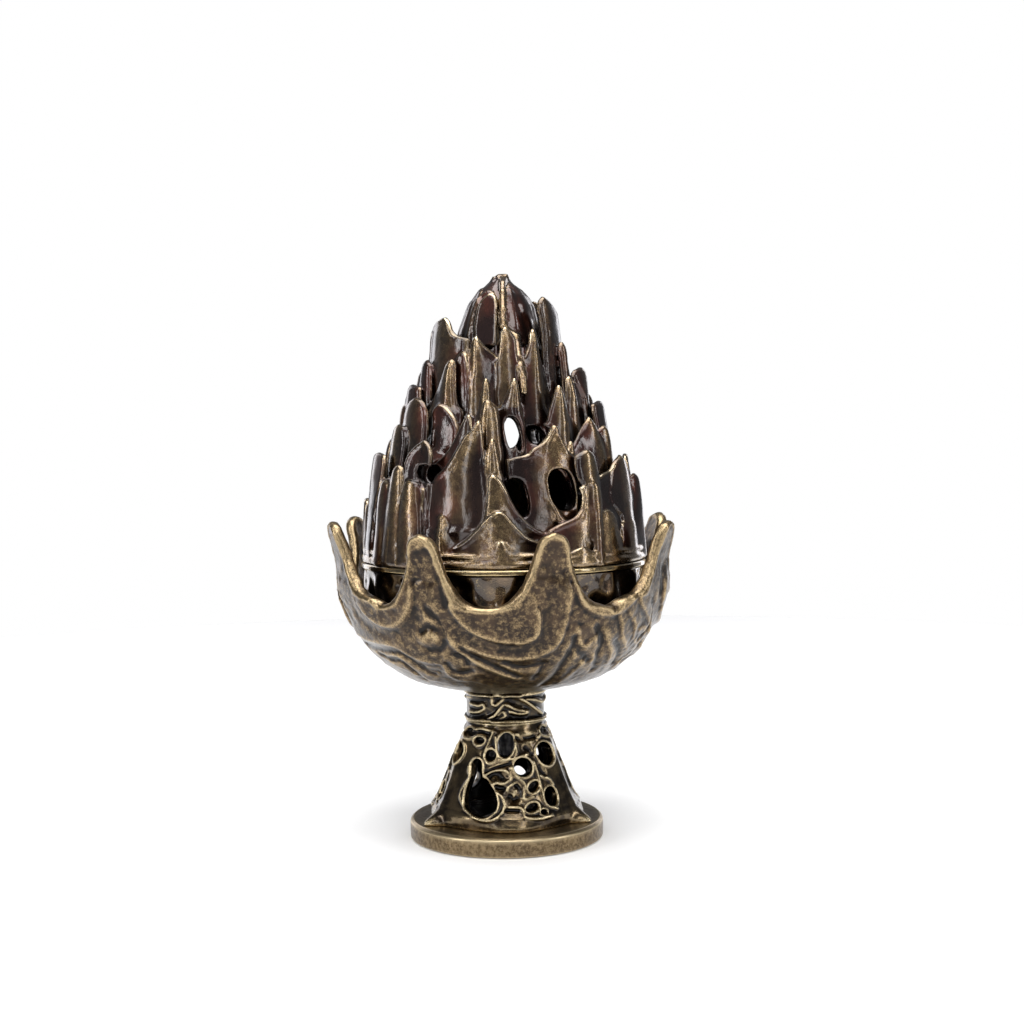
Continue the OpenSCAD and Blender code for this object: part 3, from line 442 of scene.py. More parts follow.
def make_lid(h):
    g = Grid((-46.5, -46.5, 82), (46.5, 46.5, 176), h)
    s, x, y, z = g.window((-99, -99, -99), (999, 999, 999))
    r = np.sqrt(x * x + y * y)
    a = np.arctan2(x, -y)
    zz = g.ax[2]
    # dome with soft upright flutes
    R = along(zz, DOME_Z, DOME_R)
    sl = np.gradient(R, zz)
    flute = np.sin(13 * a + 0.9 * np.sin(3 * a))
    amp = (0.75 * sstep(zz, 91, 98) * (1 - 0.4 * sstep(zz, 150, 165)))[None, None, :]
    fill = along(zz, FILL_Z, FILL_R)[None, None, :]
    low = (1 - sstep(zz, 126, 133))[None, None, :]
    basin = (np.exp(-(((a - F(0.3)) / F(0.36)) ** 4)) + np.exp(-(((a + F(2.84)) / F(0.36)) ** 4))) * low
    dome = (r - R[None, None, :] - amp * flute - fill * (1 - basin)) / np.sqrt(1 + sl**2)[None, None, :]
    g.d = np.maximum(dome, z - 173.2).astype(F)
    for p in LEAVES + back_leaves() + side_leaves():
        leaf(g, *p)
    # bud at the summit: a core, wrapped leaves and a rib that runs down the front
    bz = [146, 150, 154, 157.6, 160, 164, 166.5, 169, 171, 172.8, 174]
    br = [13.6, 13.6, 13.5, 13.4, 13.2, 12.1, 10.8, 8.8, 6.5, 3.8, 0.4]
    s, x, y, z = g.window((-18, -18, 145), (18, 18, 176))
    r = np.sqrt(x * x + y * y)
    zz = g.ax[2][s[2]]
    R = along(zz, bz, br)[None, None, :]
    bud = (r - R + 2.6) * 0.85
    g.d[s] = smin(g.d[s], smax(bud, 148 - z, 1).astype(F), F(0.6))
    for ba, bt, off, wd, sunk in ((-72, 169.6, -0.4, 5.6, 0.7), (38, 171.0, -0.1, 4.6, -0.5), (74, 168.4, -0.5, 5.0, -0.4), (-28, 168.6, 0.2, 4.6, 0.9),
                                  (9, 163.0, 0.0, 3.4, 0.4), (112, 170.0, -0.1, 4.8, 0.7), (152, 168.0, -0.4, 4.8, -0.5), (194, 170.6, 0.1, 4.8, 0.8),
                                  (238, 168.2, -0.4, 5.0, -0.4)):
        t = np.arctan2(x, -y) - F(math.radians(ba))
        t = (t + F(math.pi)) % F(2 * math.pi) - F(math.pi)
        u = np.abs(t) * r
        v = F(bt) - z
        vv = np.maximum(v, 0)
        out = u - 1.3 * np.sqrt(np.minimum(vv, 1)) - wd * (1 - np.exp(-vv / 6))
        out = np.where(v < 0, np.hypot(u, v), out) * 0.85
        n = (r - R + 1.5 - off + sunk * np.exp(-((u / (0.55 * wd)) ** 2)) * np.clip(vv / 4, 0, 1)) * 0.85
        d = smax(smax(out, np.abs(n + 1.0) - 1.0, F(0.8)), v - 26, F(1))
        mark = np.exp(-((out / 0.7) ** 2)) * 0.8
        g.tag[s] = np.where(d < g.d[s], mark, g.tag[s])
        g.d[s] = smin(g.d[s], d.astype(F), F(0.25))
    knob = np.hypot(np.hypot(np.maximum(np.abs(x - 0.7) - 1.1, 0), np.maximum(np.abs(y + 0.2) - 1.0, 0)), np.maximum(np.abs(z - 170.5) - 2.6, 0)) - 0.8
    g.tag[s] = np.where(knob < g.d[s], 0.7, g.tag[s])
    g.d[s] = smin(g.d[s], knob.astype(F), F(0.5))
    rib = [((1.0, -1.2, 172.2), 1.4), ((0.7, -5.8, 170.3), 1.15), ((0.64, -9.3, 167.3), 1.1), ((0.7, -12.1, 162), 1.1), ((0.7, -13.5, 157), 1.2), ((2.4, -13.6, 155), 1.2),
           ((4.5, -14.2, 153.5), 1.2), ((4.8, -15.6, 150.8), 1.2), ((5.2, -18, 147), 1.2), ((5.6, -20, 144.3), 1.3), ((6.4, -21.5, 141.1), 1.2), ((6.6, -22.8, 137), 1.0)]
    spur = [((15.1, -32.7, 125.7), 1.2), ((12.6, -33.2, 120.5), 1.6), ((11.1, -33.5, 114.2), 1.7), ((11.9, -33.6, 107.9), 1.7), ((15.5, -34.2, 100.4), 1.8), ((20, -33.5, 96), 1.4)]
    lip = [((10.7, -34.7, 112.8), 0.5), ((12.1, -34.7, 108.5), 0.5), ((14.1, -34.6, 104.7), 0.5)]
    for q in (rib, spur, lip):
        for (p0, r0), (p1, r1) in zip(q, q[1:]):
            tube(g, p0, p1, r0, r1, 0.45, 0.8 if q is rib or q is lip else 0.6)
    wobble(g, 3, 3.4, 0.06)
    # rim, spigot and hollow
    s, x, y, z = g.window((-99, -99, -99), (999, 999, 999))
    r = np.sqrt(x * x + y * y)
    bead = np.sqrt(np.maximum(np.abs(r - 42.0) - 0.5, 0) ** 2 + (z - 87.5) ** 2) - 1.3
    bead = np.minimum(bead, np.sqrt((r - 42.7) ** 2 + (z - 89.9) ** 2) - 0.8)
    near = bead < g.d + 0.15
    g.tag = np.where(near, F(1.1), g.tag)
    g.rim = np.where(near, F(0), g.rim)
    g.d = smin(g.d, bead.astype(F), F(0.3))
    g.d = smax(g.d, (86.25 - z) + 0 * r, F(0.3))
    spig = np.maximum(np.abs(r - 39.8) - 1.05, np.abs(z - 86.2) - 2.45)
    g.d = np.minimum(g.d, spig).astype(F)
    zz = g.ax[2]
    C = along(zz, CAVE_Z, CAVE_R)
    sl = np.gradient(C, zz)
    cave = (r - C[None, None, :]) / np.sqrt(1 + sl**2)[None, None, :]
    g.d = smax(g.d, -cave.astype(F), F(0.5))
    for va, vz, vw, vh, deep in VENTS:
        va = math.radians(va)
        R0 = float(np.interp(vz, DOME_Z, DOME_R))
        cx, cy = math.sin(va) * (R0 + 1), -math.cos(va) * (R0 + 1)
        s, x, y, z = g.window((cx - 11, cy - 11, vz - vh - 2), (cx + 11, cy + 11, vz + vh + 2))
        n = x * math.sin(va) - y * math.cos(va)
        u = x * math.cos(va) + y * math.sin(va)
        u = u + F(0.16) * (z - F(vz))
        q = (np.abs(u / vw) ** F(2.7) + np.abs((z - vz) / vh) ** F(2.7)) ** F(1 / 2.7)
        hole = (q - 1) * min(vw, vh)
        hole = smax(np.maximum(hole, 4 - n), n - F(R0 + deep), F(1.0))
        # small vents: their edges get neither rubbed brass nor the painted rim glint
        if vw < 4:
            g.tag[s] = np.where(hole < 1.2, -1, g.tag[s])
        g.d[s] = smax(g.d[s], -hole.astype(F), F(0.7))
    return g


# ------------------------------------------------------------------ relief on turned pieces


class Relief:
    """Heights over a turned surface, held on a net of angle and height."""

    def __init__(self, zs, rs, step):
        self.z = np.arange(zs[0] - 1, zs[-1] + 1 + step, step)
        self.R = np.interp(self.z, zs, rs)
        self.s = np.concatenate([[0], np.cumsum(np.hypot(np.diff(self.z), np.diff(self.R)))])
        self.n = int(2 * math.pi * max(rs) / step)
        self.a = -math.pi + 2 * math.pi * np.arange(self.n) / self.n
        self.up = np.zeros((self.n, len(self.z)))
        self.down = np.zeros((self.n, len(self.z)))
        self.hole = np.full((self.n, len(self.z)), 9.0)

    def offset(self, a0, z0, aa, kk):
        """Steps on the surface, in millimetres, from one place to the net's places aa, kk."""
        t = (self.a[aa] - a0 + math.pi) % (2 * math.pi) - math.pi
        return t[:, None] * self.R[kk][None, :], (self.s[kk] - np.interp(z0, self.z, self.s))[None, :] + 0 * t[:, None]

    def area(self, a0, a1, z0, z1, m):
        rr = np.interp(0.5 * (z0 + z1), self.z, self.R)
        i0 = int((min(a0, a1) - m / rr + math.pi) / (2 * math.pi) * self.n)
        i1 = int((max(a0, a1) + m / rr + math.pi) / (2 * math.pi) * self.n) + 1
        k = np.nonzero((self.z > min(z0, z1) - m) & (self.z < max(z0, z1) + m))[0]
        return np.arange(i0, i1 + 1) % self.n, k

    def line(self, w, h, pts, turn=0.0):
        """A soft ridge (h > 0) or groove (h < 0) along a curve of (angle, height)."""
        q = np.array(pts, float)
        q[:, 0] = np.radians(q[:, 0] + turn)
        q = np.vstack([2 * q[0] - q[1], q, 2 * q[-1] - q[-2]])
        c = []
        for i in range(1, len(q) - 2):
            for t in np.arange(0, 1, 0.2):
                c.append(0.5 * (2 * q[i] + (q[i + 1] - q[i - 1]) * t + (2 * q[i - 1] - 5 * q[i] + 4 * q[i + 1] - q[i + 2]) * t * t
                                + (3 * q[i] - q[i - 1] - 3 * q[i + 1] + q[i + 2]) * t**3))
        c.append(q[-2])
        for (a0, z0), (a1, z1) in zip(c, c[1:]):
            aa, kk = self.area(a0, a1, z0, z1, 2.6 * w)
            if not len(kk):
                continue
            u, v = self.offset(a0, z0, aa, kk)
            du = (a1 - a0) * np.interp(0.5 * (z0 + z1), self.z, self.R)
            dv = np.interp(z1, self.z, self.s) - np.interp(z0, self.z, self.s)
            t = np.clip((u * du + v * dv) / (du * du + dv * dv + 1e-9), 0, 1)
            d2 = (u - t * du) ** 2 + (v - t * dv) ** 2
            val = abs(h) * np.exp(-d2 / (w * w))
            ix = np.ix_(aa, kk)
            if h > 0:
                self.up[ix] = np.maximum(self.up[ix], val)
            else:
                self.down[ix] = np.minimum(self.down[ix], -val)

    def oval(self, a, z, ru, rv, tilt, through, rim, depth):
        """A hole or a sunk cell with a thin raised rim."""
        a = math.radians(a)
        m = max(ru, rv) + 3
        aa, kk = self.area(a, a, z, z, m)
        u, v = self.offset(a, z, aa, kk)
        c, s = math.cos(math.radians(tilt)), math.sin(math.radians(tilt))
        p, q = c * u + s * v, c * v - s * u
        k = np.sqrt((p / ru) ** 2 + (q / rv) ** 2)
        d = (k - 1) * k / np.sqrt((p / ru**2) ** 2 + (q / rv**2) ** 2 + 1e-9) * np.where(k > 0.2, 1, 0.9)
        ix = np.ix_(aa, kk)
        self.up[ix] = np.maximum(self.up[ix], rim * np.exp(-(((d - 0.3) / 0.42) ** 2)))
        if through:
            self.hole[ix] = np.minimum(self.hole[ix], d)
        else:
            t = np.clip(-d / 0.8, 0, 1)
            self.down[ix] = np.minimum(self.down[ix], -depth * t * t * (3 - 2 * t))

    def pierce(self, discs, turn, rim):
        """One opening made of joined discs (angle, height, radius), with a thin raised rim."""
        a = [math.radians(q[0] + turn) for q in discs]
        z = [q[1] for q in discs]
        aa, kk = self.area(min(a), max(a), min(z), max(z), max(q[2] for q in discs) + 3)
        d = None
        for ai, (_, zi, ri) in zip(a, discs):
            u, v = self.offset(ai, zi, aa, kk)
            q = np.hypot(u, v) - ri
            d = q if d is None else smin(d, q, 1.6)
        ix = np.ix_(aa, kk)
        self.up[ix] = np.maximum(self.up[ix], rim * np.exp(-(((d - 0.35) / 0.5) ** 2)))
        self.hole[ix] = np.minimum(self.hole[ix], d)

    def ledge(self, w, h, pts, turn=0.0):
        """A crest along a curve that drops steeply on one side and slowly on the other."""
        q = np.array(pts, float)
        q[:, 0] = np.radians(q[:, 0] + turn)
        aa, kk = self.area(q[:, 0].min(), q[:, 0].max(), q[:, 1].min(), q[:, 1].max(), 9)
        best = np.full((len(aa), len(kk)), 1e9)
        away = np.zeros_like(best)
        fine = np.linspace(0, len(q) - 1, 6 * len(q))
        c = [np.interp(fine, np.arange(len(q)), q[:, i]) for i in (0, 1)]
        c = np.stack([np.convolve(np.pad(v, 3, mode="edge"), np.ones(7) / 7, "valid") for v in c], 1)
        for (a0, z0), (a1, z1) in zip(c, c[1:]):
            u, v = self.offset(a0, z0, aa, kk)
            du = (a1 - a0) * np.interp(0.5 * (z0 + z1), self.z, self.R)
            dv = np.interp(z1, self.z, self.s) - np.interp(z0, self.z, self.s)
            t = np.clip((u * du + v * dv) / (du * du + dv * dv + 1e-9), 0, 1)
            d2 = (u - t * du) ** 2 + (v - t * dv) ** 2
            m = d2 < best
            best = np.where(m, d2, best)
            away = np.where(m, np.sign(du * v - dv * u), away)
        d = np.sqrt(best)
        val = h * np.where(away > 0, np.exp(-d / 3.4), np.exp(-((d / (0.55 * w)) ** 2)))
        ix = np.ix_(aa, kk)
        self.up[ix] = np.maximum(self.up[ix], val)

    def slicer(self, ang):
        """Look-up of the net at the angles ang for one height at a time."""
        q = (ang + math.pi) / (2 * math.pi) * self.n
        i = q.astype(np.int64) % self.n
        f = (q - np.floor(q)).astype(F)
        j = (i + 1) % self.n

        def at(field, z):
            k = np.clip((z - self.z[0]) / (self.z[1] - self.z[0]), 0, len(self.z) - 1.001)
            k0 = int(k)
            row = (field[:, k0] * (1 - (k - k0)) + field[:, k0 + 1] * (k - k0)).astype(F)
            return row[i] * (1 - f) + row[j] * f

        return at


def soften(zs, rs, z, width):
    """Radius of a profile at heights z, with its corners eased."""
    fine = np.arange(zs[0] - 6, zs[-1] + 6, 0.1)
    r = np.interp(fine, zs, rs)
    n = int(width / 0.1) | 1
    r = np.convolve(np.pad(r, n // 2, mode="edge"), np.ones(n) / n, "valid")
    return np.interp(z, fine, r)


# ------------------------------------------------------------------ bowl

BOWL_Z = [46.4, 48.3, 50.2, 52.2, 56.0, 59.7, 63.5, 67.2, 71.9, 76.5, 80.2, 87.5, 91.2, 95.4, 99.4]
BOWL_R = [13.4, 23.2, 29.6, 33.3, 38.4, 42.2, 45.0, 47.3, 49.2, 50.9, 51.7, 52.3, 53.2, 54.6, 55.2]
WELL_Z = [52.9, 53.0, 54.2, 56.2, 59.5, 63.6, 68.0, 72.4, 76.8, 81.4, 87.6, 91.6, 95.4, 99.4, 104]
WELL_R = [25.2, 26.0, 30.5, 34.5, 38.1, 41.1, 43.8, 45.7, 47.3, 48.3, 49.0, 49.9, 51.2, 52.4, 53.6]
# petals round the bowl from the front left one: tip height, lean, share of width, turn from even spacing
PETALS = [(97.0, 0.0, 1.1, -0.4), (97.2, 0.1, 1.14, -4.2), (98.9, 0.0, 1.1, 0.0), (99.2, -0.2, 1.15, 0.8), (99.4, 0.0, 1.2, -0.9), (99.0, -0.1, 1.08, 1.0), (98.8, 0.1, 1.2, -0.6), (99.3, 0.0, 1.12, 0.0)]
PETAL_V = [0, 0.4, 1.4, 3.2, 7, 11, 14, 16.5, 18.2, 19.5, 20.4, 21.1, 22, 30]
PETAL_W = [0, 1.9, 3.2, 4.1, 4.8, 5.7, 7.0, 8.7, 10.2, 12.0, 13.8, 16.0, 20.5, 26]

# ridges and grooves of the cloud relief: half width, height, curve of (angle, height)
CLOUDS = [
    (1.3, 0.8, ((-17.6, 77.5), (-15.7, 73.8), (-12.6, 70.4), (-8.1, 68.0), (-1.8, 66.3), (5.5, 65.6), (9.9, 66.5), (11.7, 69.1), (11.5, 72.6), (10.8, 75.3))),
    (1.9, -0.55, ((-20.3, 72.7), (-17.7, 69.3), (-13.2, 66.6), (-6.9, 64.5), (1.5, 63.3), (8.2, 63.7), (13.0, 65.6), (15.0, 69.0), (15.0, 73.8), (14.3, 79.9))),
    (1.5, 0.7, ((-19.3, 66.4), (-15.1, 65.5), (-10.4, 63.4), (-4.6, 61.5), (3.3, 60.7), (11.2, 61.1), (16.2, 62.9), (19.1, 65.3), (20.0, 68.8), (20.6, 72.2), (21.1, 77.0), (20.9, 81.7))),
    (1.5, 0.8, ((-19.3, 66.1), (-15.8, 62.9), (-11.2, 60.0), (-6.2, 57.3), (0.6, 55.3), (7.2, 53.9))),
    (0.9, -0.9, ((-15.6, 63.8), (-10.8, 61.5), (-5.8, 59.4), (0.6, 56.9), (5.8, 55.0))),
    (0.9, -0.9, ((-23.5, 59.3), (-22.5, 57.0), (-18.7, 56.3), (-14.1, 57.2))),
    (0.9, -0.8, ((-18.4, 62.1), (-15.4, 61.3), (-14.7, 59.2))),
    (1.2, 0.6, ((-24.4, 60.4), (-26.2, 54.8), (-21.1, 53.3), (-13.7, 53.9), (-9.9, 52.3))),
    (0.9, -0.9, ((0.1, 59.9), (4.3, 58.6), (10.0, 58.4), (15.0, 59.3))),
    (0.8, -0.8, ((15.0, 59.3), (15.1, 56.5), (13.2, 54.1))),
    (1.1, -0.9, ((25.3, 66.8), (25.6, 62.8), (23.9, 58.4), (22.8, 53.7), (20.6, 51.6))),
    (1.0, -0.8, ((26.5, 63.8), (30.4, 61.4), (35.5, 59.2))),
    (1.2, 0.6, ((33.0, 59.4), (30.7, 54.8), (27.8, 52.1))),
    (1.2, 0.6, ((32.3, 65.3), (30.3, 63.2), (27.2, 65.6), (25.4, 69.9))),
    (1.3, 0.7, ((-56.5, 73.9), (-50.7, 70.6), (-44.3, 69.3), (-38.6, 70.4), (-34.1, 73.5), (-31.3, 77.1), (-30.2, 81.9))),
    (1.6, -0.5, ((-62.7, 72.3), (-55.2, 68.6), (-46.2, 67.2), (-37.3, 68.5), (-31.6, 71.6), (-29.2, 75.1))),
    (1.1, -0.6, ((-29.9, 69.2), (-25.6, 70.4), (-21.9, 68.6), (-23.2, 64.8), (-28.1, 63.4))),
    (1.0, -0.7, ((-26.0, 75.6), (-22.8, 72.9), (-21.0, 69.5), (-22.1, 65.6), (-24.9, 63.4))),
    (1.3, 0.7, ((-73.4, 65.2), (-60.0, 63.8), (-46.7, 63.9), (-41.7, 62.4), (-35.5, 59.8), (-29.5, 59.0))),
    (0.9, -0.8, ((-75.1, 61.7), (-58.3, 61.5), (-46.4, 61.7), (-40.9, 59.5), (-36.9, 56.6), (-29.9, 56.3))),
    (0.9, -0.9, ((-62.3, 59.6), (-55.8, 58.9), (-49.0, 58.9))),
    (0.8, -0.9, ((-36.7, 57.8), (-36.3, 56.1), (-33.4, 55.4))),
    (1.1, 0.6, ((-57.9, 57.4), (-50.8, 55.6), (-45.8, 53.6), (-38.7, 52.4))),
    (0.8, -0.8, ((-47.0, 58.3), (-45.0, 55.3), (-44.1, 52.9))),
    (1.0, 0.7, ((37.2, 76.1), (43.8, 70.7), (45.8, 65.6), (54.9, 61.2))),
    (1.0, 0.7, ((44.9, 73.4), (52.4, 68.6), (54.9, 64.1), (62.9, 61.9))),
    (1.0, 0.7, ((50.4, 79.9), (50.3, 75.1), (60.7, 70.0), (63.8, 65.4))),
    (1.3, 0.7, ((23.6, 81.5), (25.2, 76.8), (30.3, 73.8), (37.5, 72.6), (44.5, 74.2), (48.4, 78.0))),
    (1.0, -0.8, ((33.5, 69.4), (37.9, 64.8), (39.2, 60.4), (43.4, 55.5))),
    (1.2, 0.6, ((37.6, 67.0), (44.6, 61.4), (49.2, 56.5))),
    (0.9, -0.8, ((45.0, 64.3), (51.3, 60.8), (56.4, 56.6))),
    (1.4, -0.45, ((-20.5, 85.1), (-20.3, 81.5), (-19.5, 77.5))),
    (2.2, -0.4, ((14.1, 88.5), (14.6, 83.9), (14.4, 77.2))),
    (0.9, 0.5, ((21.0, 81.0), (19.9, 77.0), (20.2, 72.2))),
    (0.7, 0.5, ((-27.5, 92.6), (-25.0, 93.9), (-22.6, 93.4), (-22.3, 91.9))),
]


def make_bowl(h):
    g = Grid((-57.5, -57.5, 41), (57.5, 57.5, 102), h)
    rel = Relief(BOWL_Z, BOWL_R, 0.3)
    for turn in (0, 180, 86, 266):
        for w, a, pts in CLOUDS:
            if turn % 180 and (max(q[0] for q in pts) > 21 or min(q[0] for q in pts) < -27):
                continue
            if a > 0:
                rel.ledge(w, 1.25 * a, pts, turn)
            else:
                rel.line(1.25 * w, 1.25 * a, pts, turn)
    for turn in (0, 86, 180, 266):
        rel.line(2.4, 0.8, ((-28.6, 66.6), (-26.8, 67.2), (-25.0, 66.8)), turn)
    # short chasing marks that follow the swirl
    rng = np.random.default_rng(21)
    for _ in range(110):
        a, z, c, n = rng.uniform(-180, 180), rng.uniform(51, 84), rng.normal(-0.25, 0.5), rng.uniform(1.5, 4.5)
        b = rng.normal(0, 0.6)
        pts = [(a + t * n * math.cos(c + b * t), z + 0.8 * t * n * math.sin(c + b * t)) for t in (-1, -0.3, 0.4, 1)]
        rel.line(rng.uniform(0.6, 1.0), -rng.uniform(0.1, 0.28), pts)
    x, y = g.ax[0][:, None], g.ax[1][None, :]
    r = np.sqrt(x * x + y * y)
    ang = np.arctan2(x, -y)
    at = rel.slicer(ang)
    zz = g.ax[2]
    Ro = soften(BOWL_Z, BOWL_R, zz, 2.4)
    so = np.sqrt(1 + np.gradient(Ro, zz) ** 2)
    Ri = soften(WELL_Z, WELL_R, zz, 1.5)
    si = np.sqrt(1 + np.gradient(Ri, zz) ** 2)
    fine = np.arange(-4, 60, 0.1)
    wv = np.interp(fine, PETAL_V, PETAL_W)
    wv[40:] = np.convolve(np.pad(wv[40:], 6, mode="edge"), np.ones(13) / 13, "valid")
    sv = np.gradient(wv, fine)
    i0 = (ang - math.radians(-25.5)) / math.radians(45)
    near = np.round(i0)
    side = np.where(i0 > near, 1, -1)
    tips = np.array([p[0] for p in PETALS])
    leans = np.array([p[1] for p in PETALS])
    wides = np.array([p[2] for p in PETALS])
    turns = np.radians([p[3] for p in PETALS])
    for k, z in enumerate(zz):
        out, core = None, 0
        for which in (near, near + side):
            t = ang - (math.radians(-25.5) + which * math.radians(45)) - turns[which.astype(int) % 8]
            tip = tips[which.astype(int) % 8]
            u = np.abs(t) * r
            v = tip - z
            wide = 1 + (wides[which.astype(int) % 8] - 1) * (1 - sstep(v, 12, 22))
            o = (u - wide * np.interp(v, fine, wv)) / np.sqrt(1 + np.interp(v, fine, sv) ** 2)
            o = np.where(v < 0, np.hypot(u, v), o)
            out = o if out is None else smin(out, o, 2.2)
            core = np.maximum(core, sstep(wide * np.interp(v - 2.5, fine, wv) - u, 2, 4))
        lean = leans[near.astype(int) % 8] * sstep(z, 80, 99)
        low = sstep(z, 47.5, 51)
        rel_h = low * (at(rel.up, z) + at(rel.down, z)) * np.clip(3 * core - out / 1.6, 0, 1) + 0.34 * np.exp(-(((out - 5 * core + 1.2) / 0.6) ** 2)) * sstep(z, 70, 74)
        shell = (r - Ro[k] - lean - rel_h) / so[k]
        if z < 46.4:
            shell = np.where(z < 46.4, np.maximum(r - 8.5, 42.0 - z), shell)
        well = np.maximum((r - Ri[k] - lean) / si[k], 53.0 - z)
        well = np.minimum(well, np.maximum(r - 17, 50.0 - z))
        well = np.minimum(well, r - 2.75)
        d = smax(shell, -well, 0.5)
        d = smax(d, out, 1.5)
        g.d[:, :, k] = d
    wobble(g, 11, 2.6, 0.08)
    wobble(g, 12, 1.3, 0.05)
    return g


# ------------------------------------------------------------------ stem and collar

STEM_Z = [6.1, 7.5, 11.2, 13.0, 16.7, 20.5, 24.1, 27.8, 31.5, 34.1, 35.5, 36.9]
STEM_R = [23.4, 23.7, 22.9, 21.2, 19.7, 18.1, 16.8, 15.2, 13.9, 13.1, 12.2, 12.2]
BORE_Z = [6.0, 13.0, 19.1, 26.1, 32.1, 33.6]
BORE_R = [19.3, 18.2, 15.5, 12.8, 9.0, 7.0]
TOES = (-62, 66, 186)
STEM_LINES = [
    (0.45, 0.55, ((-31.7, 26.7), (-38.4, 25.9), (-41.8, 23.8), (-38.0, 21.3), (-42.3, 18.4), (-43.5, 15.4), (-33.6, 12.3), (-23.4, 10.3), (-13.5, 9.8), (-5.3, 11.4), (-1.5, 13.8), (-4.5, 16.5), (-10.8, 17.9), (-13.0, 19.2), (-9.0, 20.2), (-1.0, 20.2), (4.4, 21.3), (3.5, 22.7), (-3.8, 23.9), (-13.8, 23.4), (-20.7, 22.2))),
    (0.4, 0.5, ((-25.8, 25.8), (-25.1, 23.5), (-22.1, 22.0), (-21.0, 19.7), (-20.7, 16.6))),
    (0.4, 0.5, ((-25.2, 27.4), (-23.7, 29.2), (-17.8, 29.9), (-10.6, 28.7), (-8.6, 26.8), (-14.5, 25.6), (-20.8, 25.7), (-25.2, 27.4))),
    (0.6, 0.5, ((-18.0, 34.6), (-20.6, 32.2), (-24.4, 29.0))),
    (0.4, 0.5, ((-13.4, 33.1), (-10.9, 29.9), (-7.1, 27.2))),
    (0.4, 0.5, ((-2.5, 34.2), (6.6, 33.5), (10.5, 31.0), (12.2, 28.7), (8.4, 26.8))),
    (0.5, 0.5, ((-8.5, 26.4), (6.8, 26.8), (16.6, 27.4), (31.3, 28.3))),
    (0.5, 0.5, ((30.3, 25.5), (32.5, 22.3), (33.0, 19.1), (33.5, 16.4), (36.8, 13.5), (43.6, 11.7))),
    (0.45, 0.5, ((4.8, 24.5), (6.6, 22.5), (12.5, 21.2), (17.3, 19.4), (14.8, 16.6), (16.8, 15.4), (23.5, 16.0))),
    (0.45, 0.5, ((-56.1, 34.2), (-38.4, 35.0), (-22.1, 34.6))),
    (0.4, 0.45, ((-46.4, 32.0), (-38.0, 33.3), (-26.7, 32.7), (-27.6, 30.9), (-37.0, 30.1))),
    (0.45, 0.5, ((14.0, 33.4), (26.4, 31.6), (39.1, 31.6), (51.2, 32.9))),
    (0.45, 0.5, ((-22.2, 22.4), (-16.9, 24.0), (-5.4, 25.3), (6.6, 25.8))),
    (0.5, 0.5, ((2.3, 13.4), (12.4, 12.9), (14.5, 10.7), (25.3, 9.9), (36.5, 10.4))),
    (0.45, 0.5, ((35.1, 21.4), (44.5, 20.2), (47.7, 18.4))),
    (0.45, 0.5, ((0.2, 18.3), (4.1, 19.5), (10.7, 19.8), (14.1, 18.2), (11.0, 16.3))),
    (0.55, -0.9, ((-20.8, 23.1), (-8.2, 24.5), (5.0, 25.6))),
    (0.75, -1, ((-4.4, 21.3), (-7.9, 22.2), (-14.9, 22.1), (-18.3, 20.5), (-18.3, 18.2), (-16.4, 16.3))),
    (0.5, -0.8, ((-10.0, 18.7), (-2.3, 18.4))),
    (0.7, -1, ((9.9, 19.2), (13.0, 18.0), (11.0, 16.3), (6.5, 15.3), (3.1, 16.1))),
    (0.7, -0.9, ((13.7, 32.6), (26.7, 32.0), (39.8, 32.2))),
    (0.6, -0.9, ((-51.1, 33.3), (-36.5, 34.1), (-23.3, 33.8))),
    (0.6, -0.9, ((-0.0, 12.4), (8.7, 12.3))),
    (0.6, -0.8, ((24.9, 29.6), (30.9, 27.9))),
    (0.6, -0.8, ((37.3, 23.7), (40.5, 21.6))),
]
# pierced holes and sunk cells: angle, height, half width, half height, tilt, pierced
STEM_CELLS = [
    (0.1, 30.7, 2.5, 3.7, -10, 1),
    (18.1, 24.3, 2.9, 2.8, 0, 1),
    (50.2, 27.2, 3.5, 3.6, -15, 1),
    (41.6, 15.2, 2.5, 3.0, -15, 1),
    (-17.8, 27.7, 1.8, 1.8, 0, 0),
    (25.9, 18.6, 2.2, 1.5, 30, 0),
    (30.3, 11.5, 1.1, 0.8, 0, 1),
    (-35.4, 31.7, 1.9, 1.2, 0, 0),
    (63.4, 33.6, 2.7, 1.5, 0, 0),
    (21.1, 12.8, 2.3, 1.5, 20, 0),
]


KEYHOLE = ((-32.7, 24.9, 1.7), (-30.9, 22.6, 1.8), (-30.1, 20.2, 2.0), (-27.8, 18.0, 3.5), (-24.3, 15.4, 5.1), (-18.5, 13.7, 3.8))
SLIT = ((-26, 14.2, 2.6), (-22, 13.2, 3.2), (-16, 12.8, 2.2))


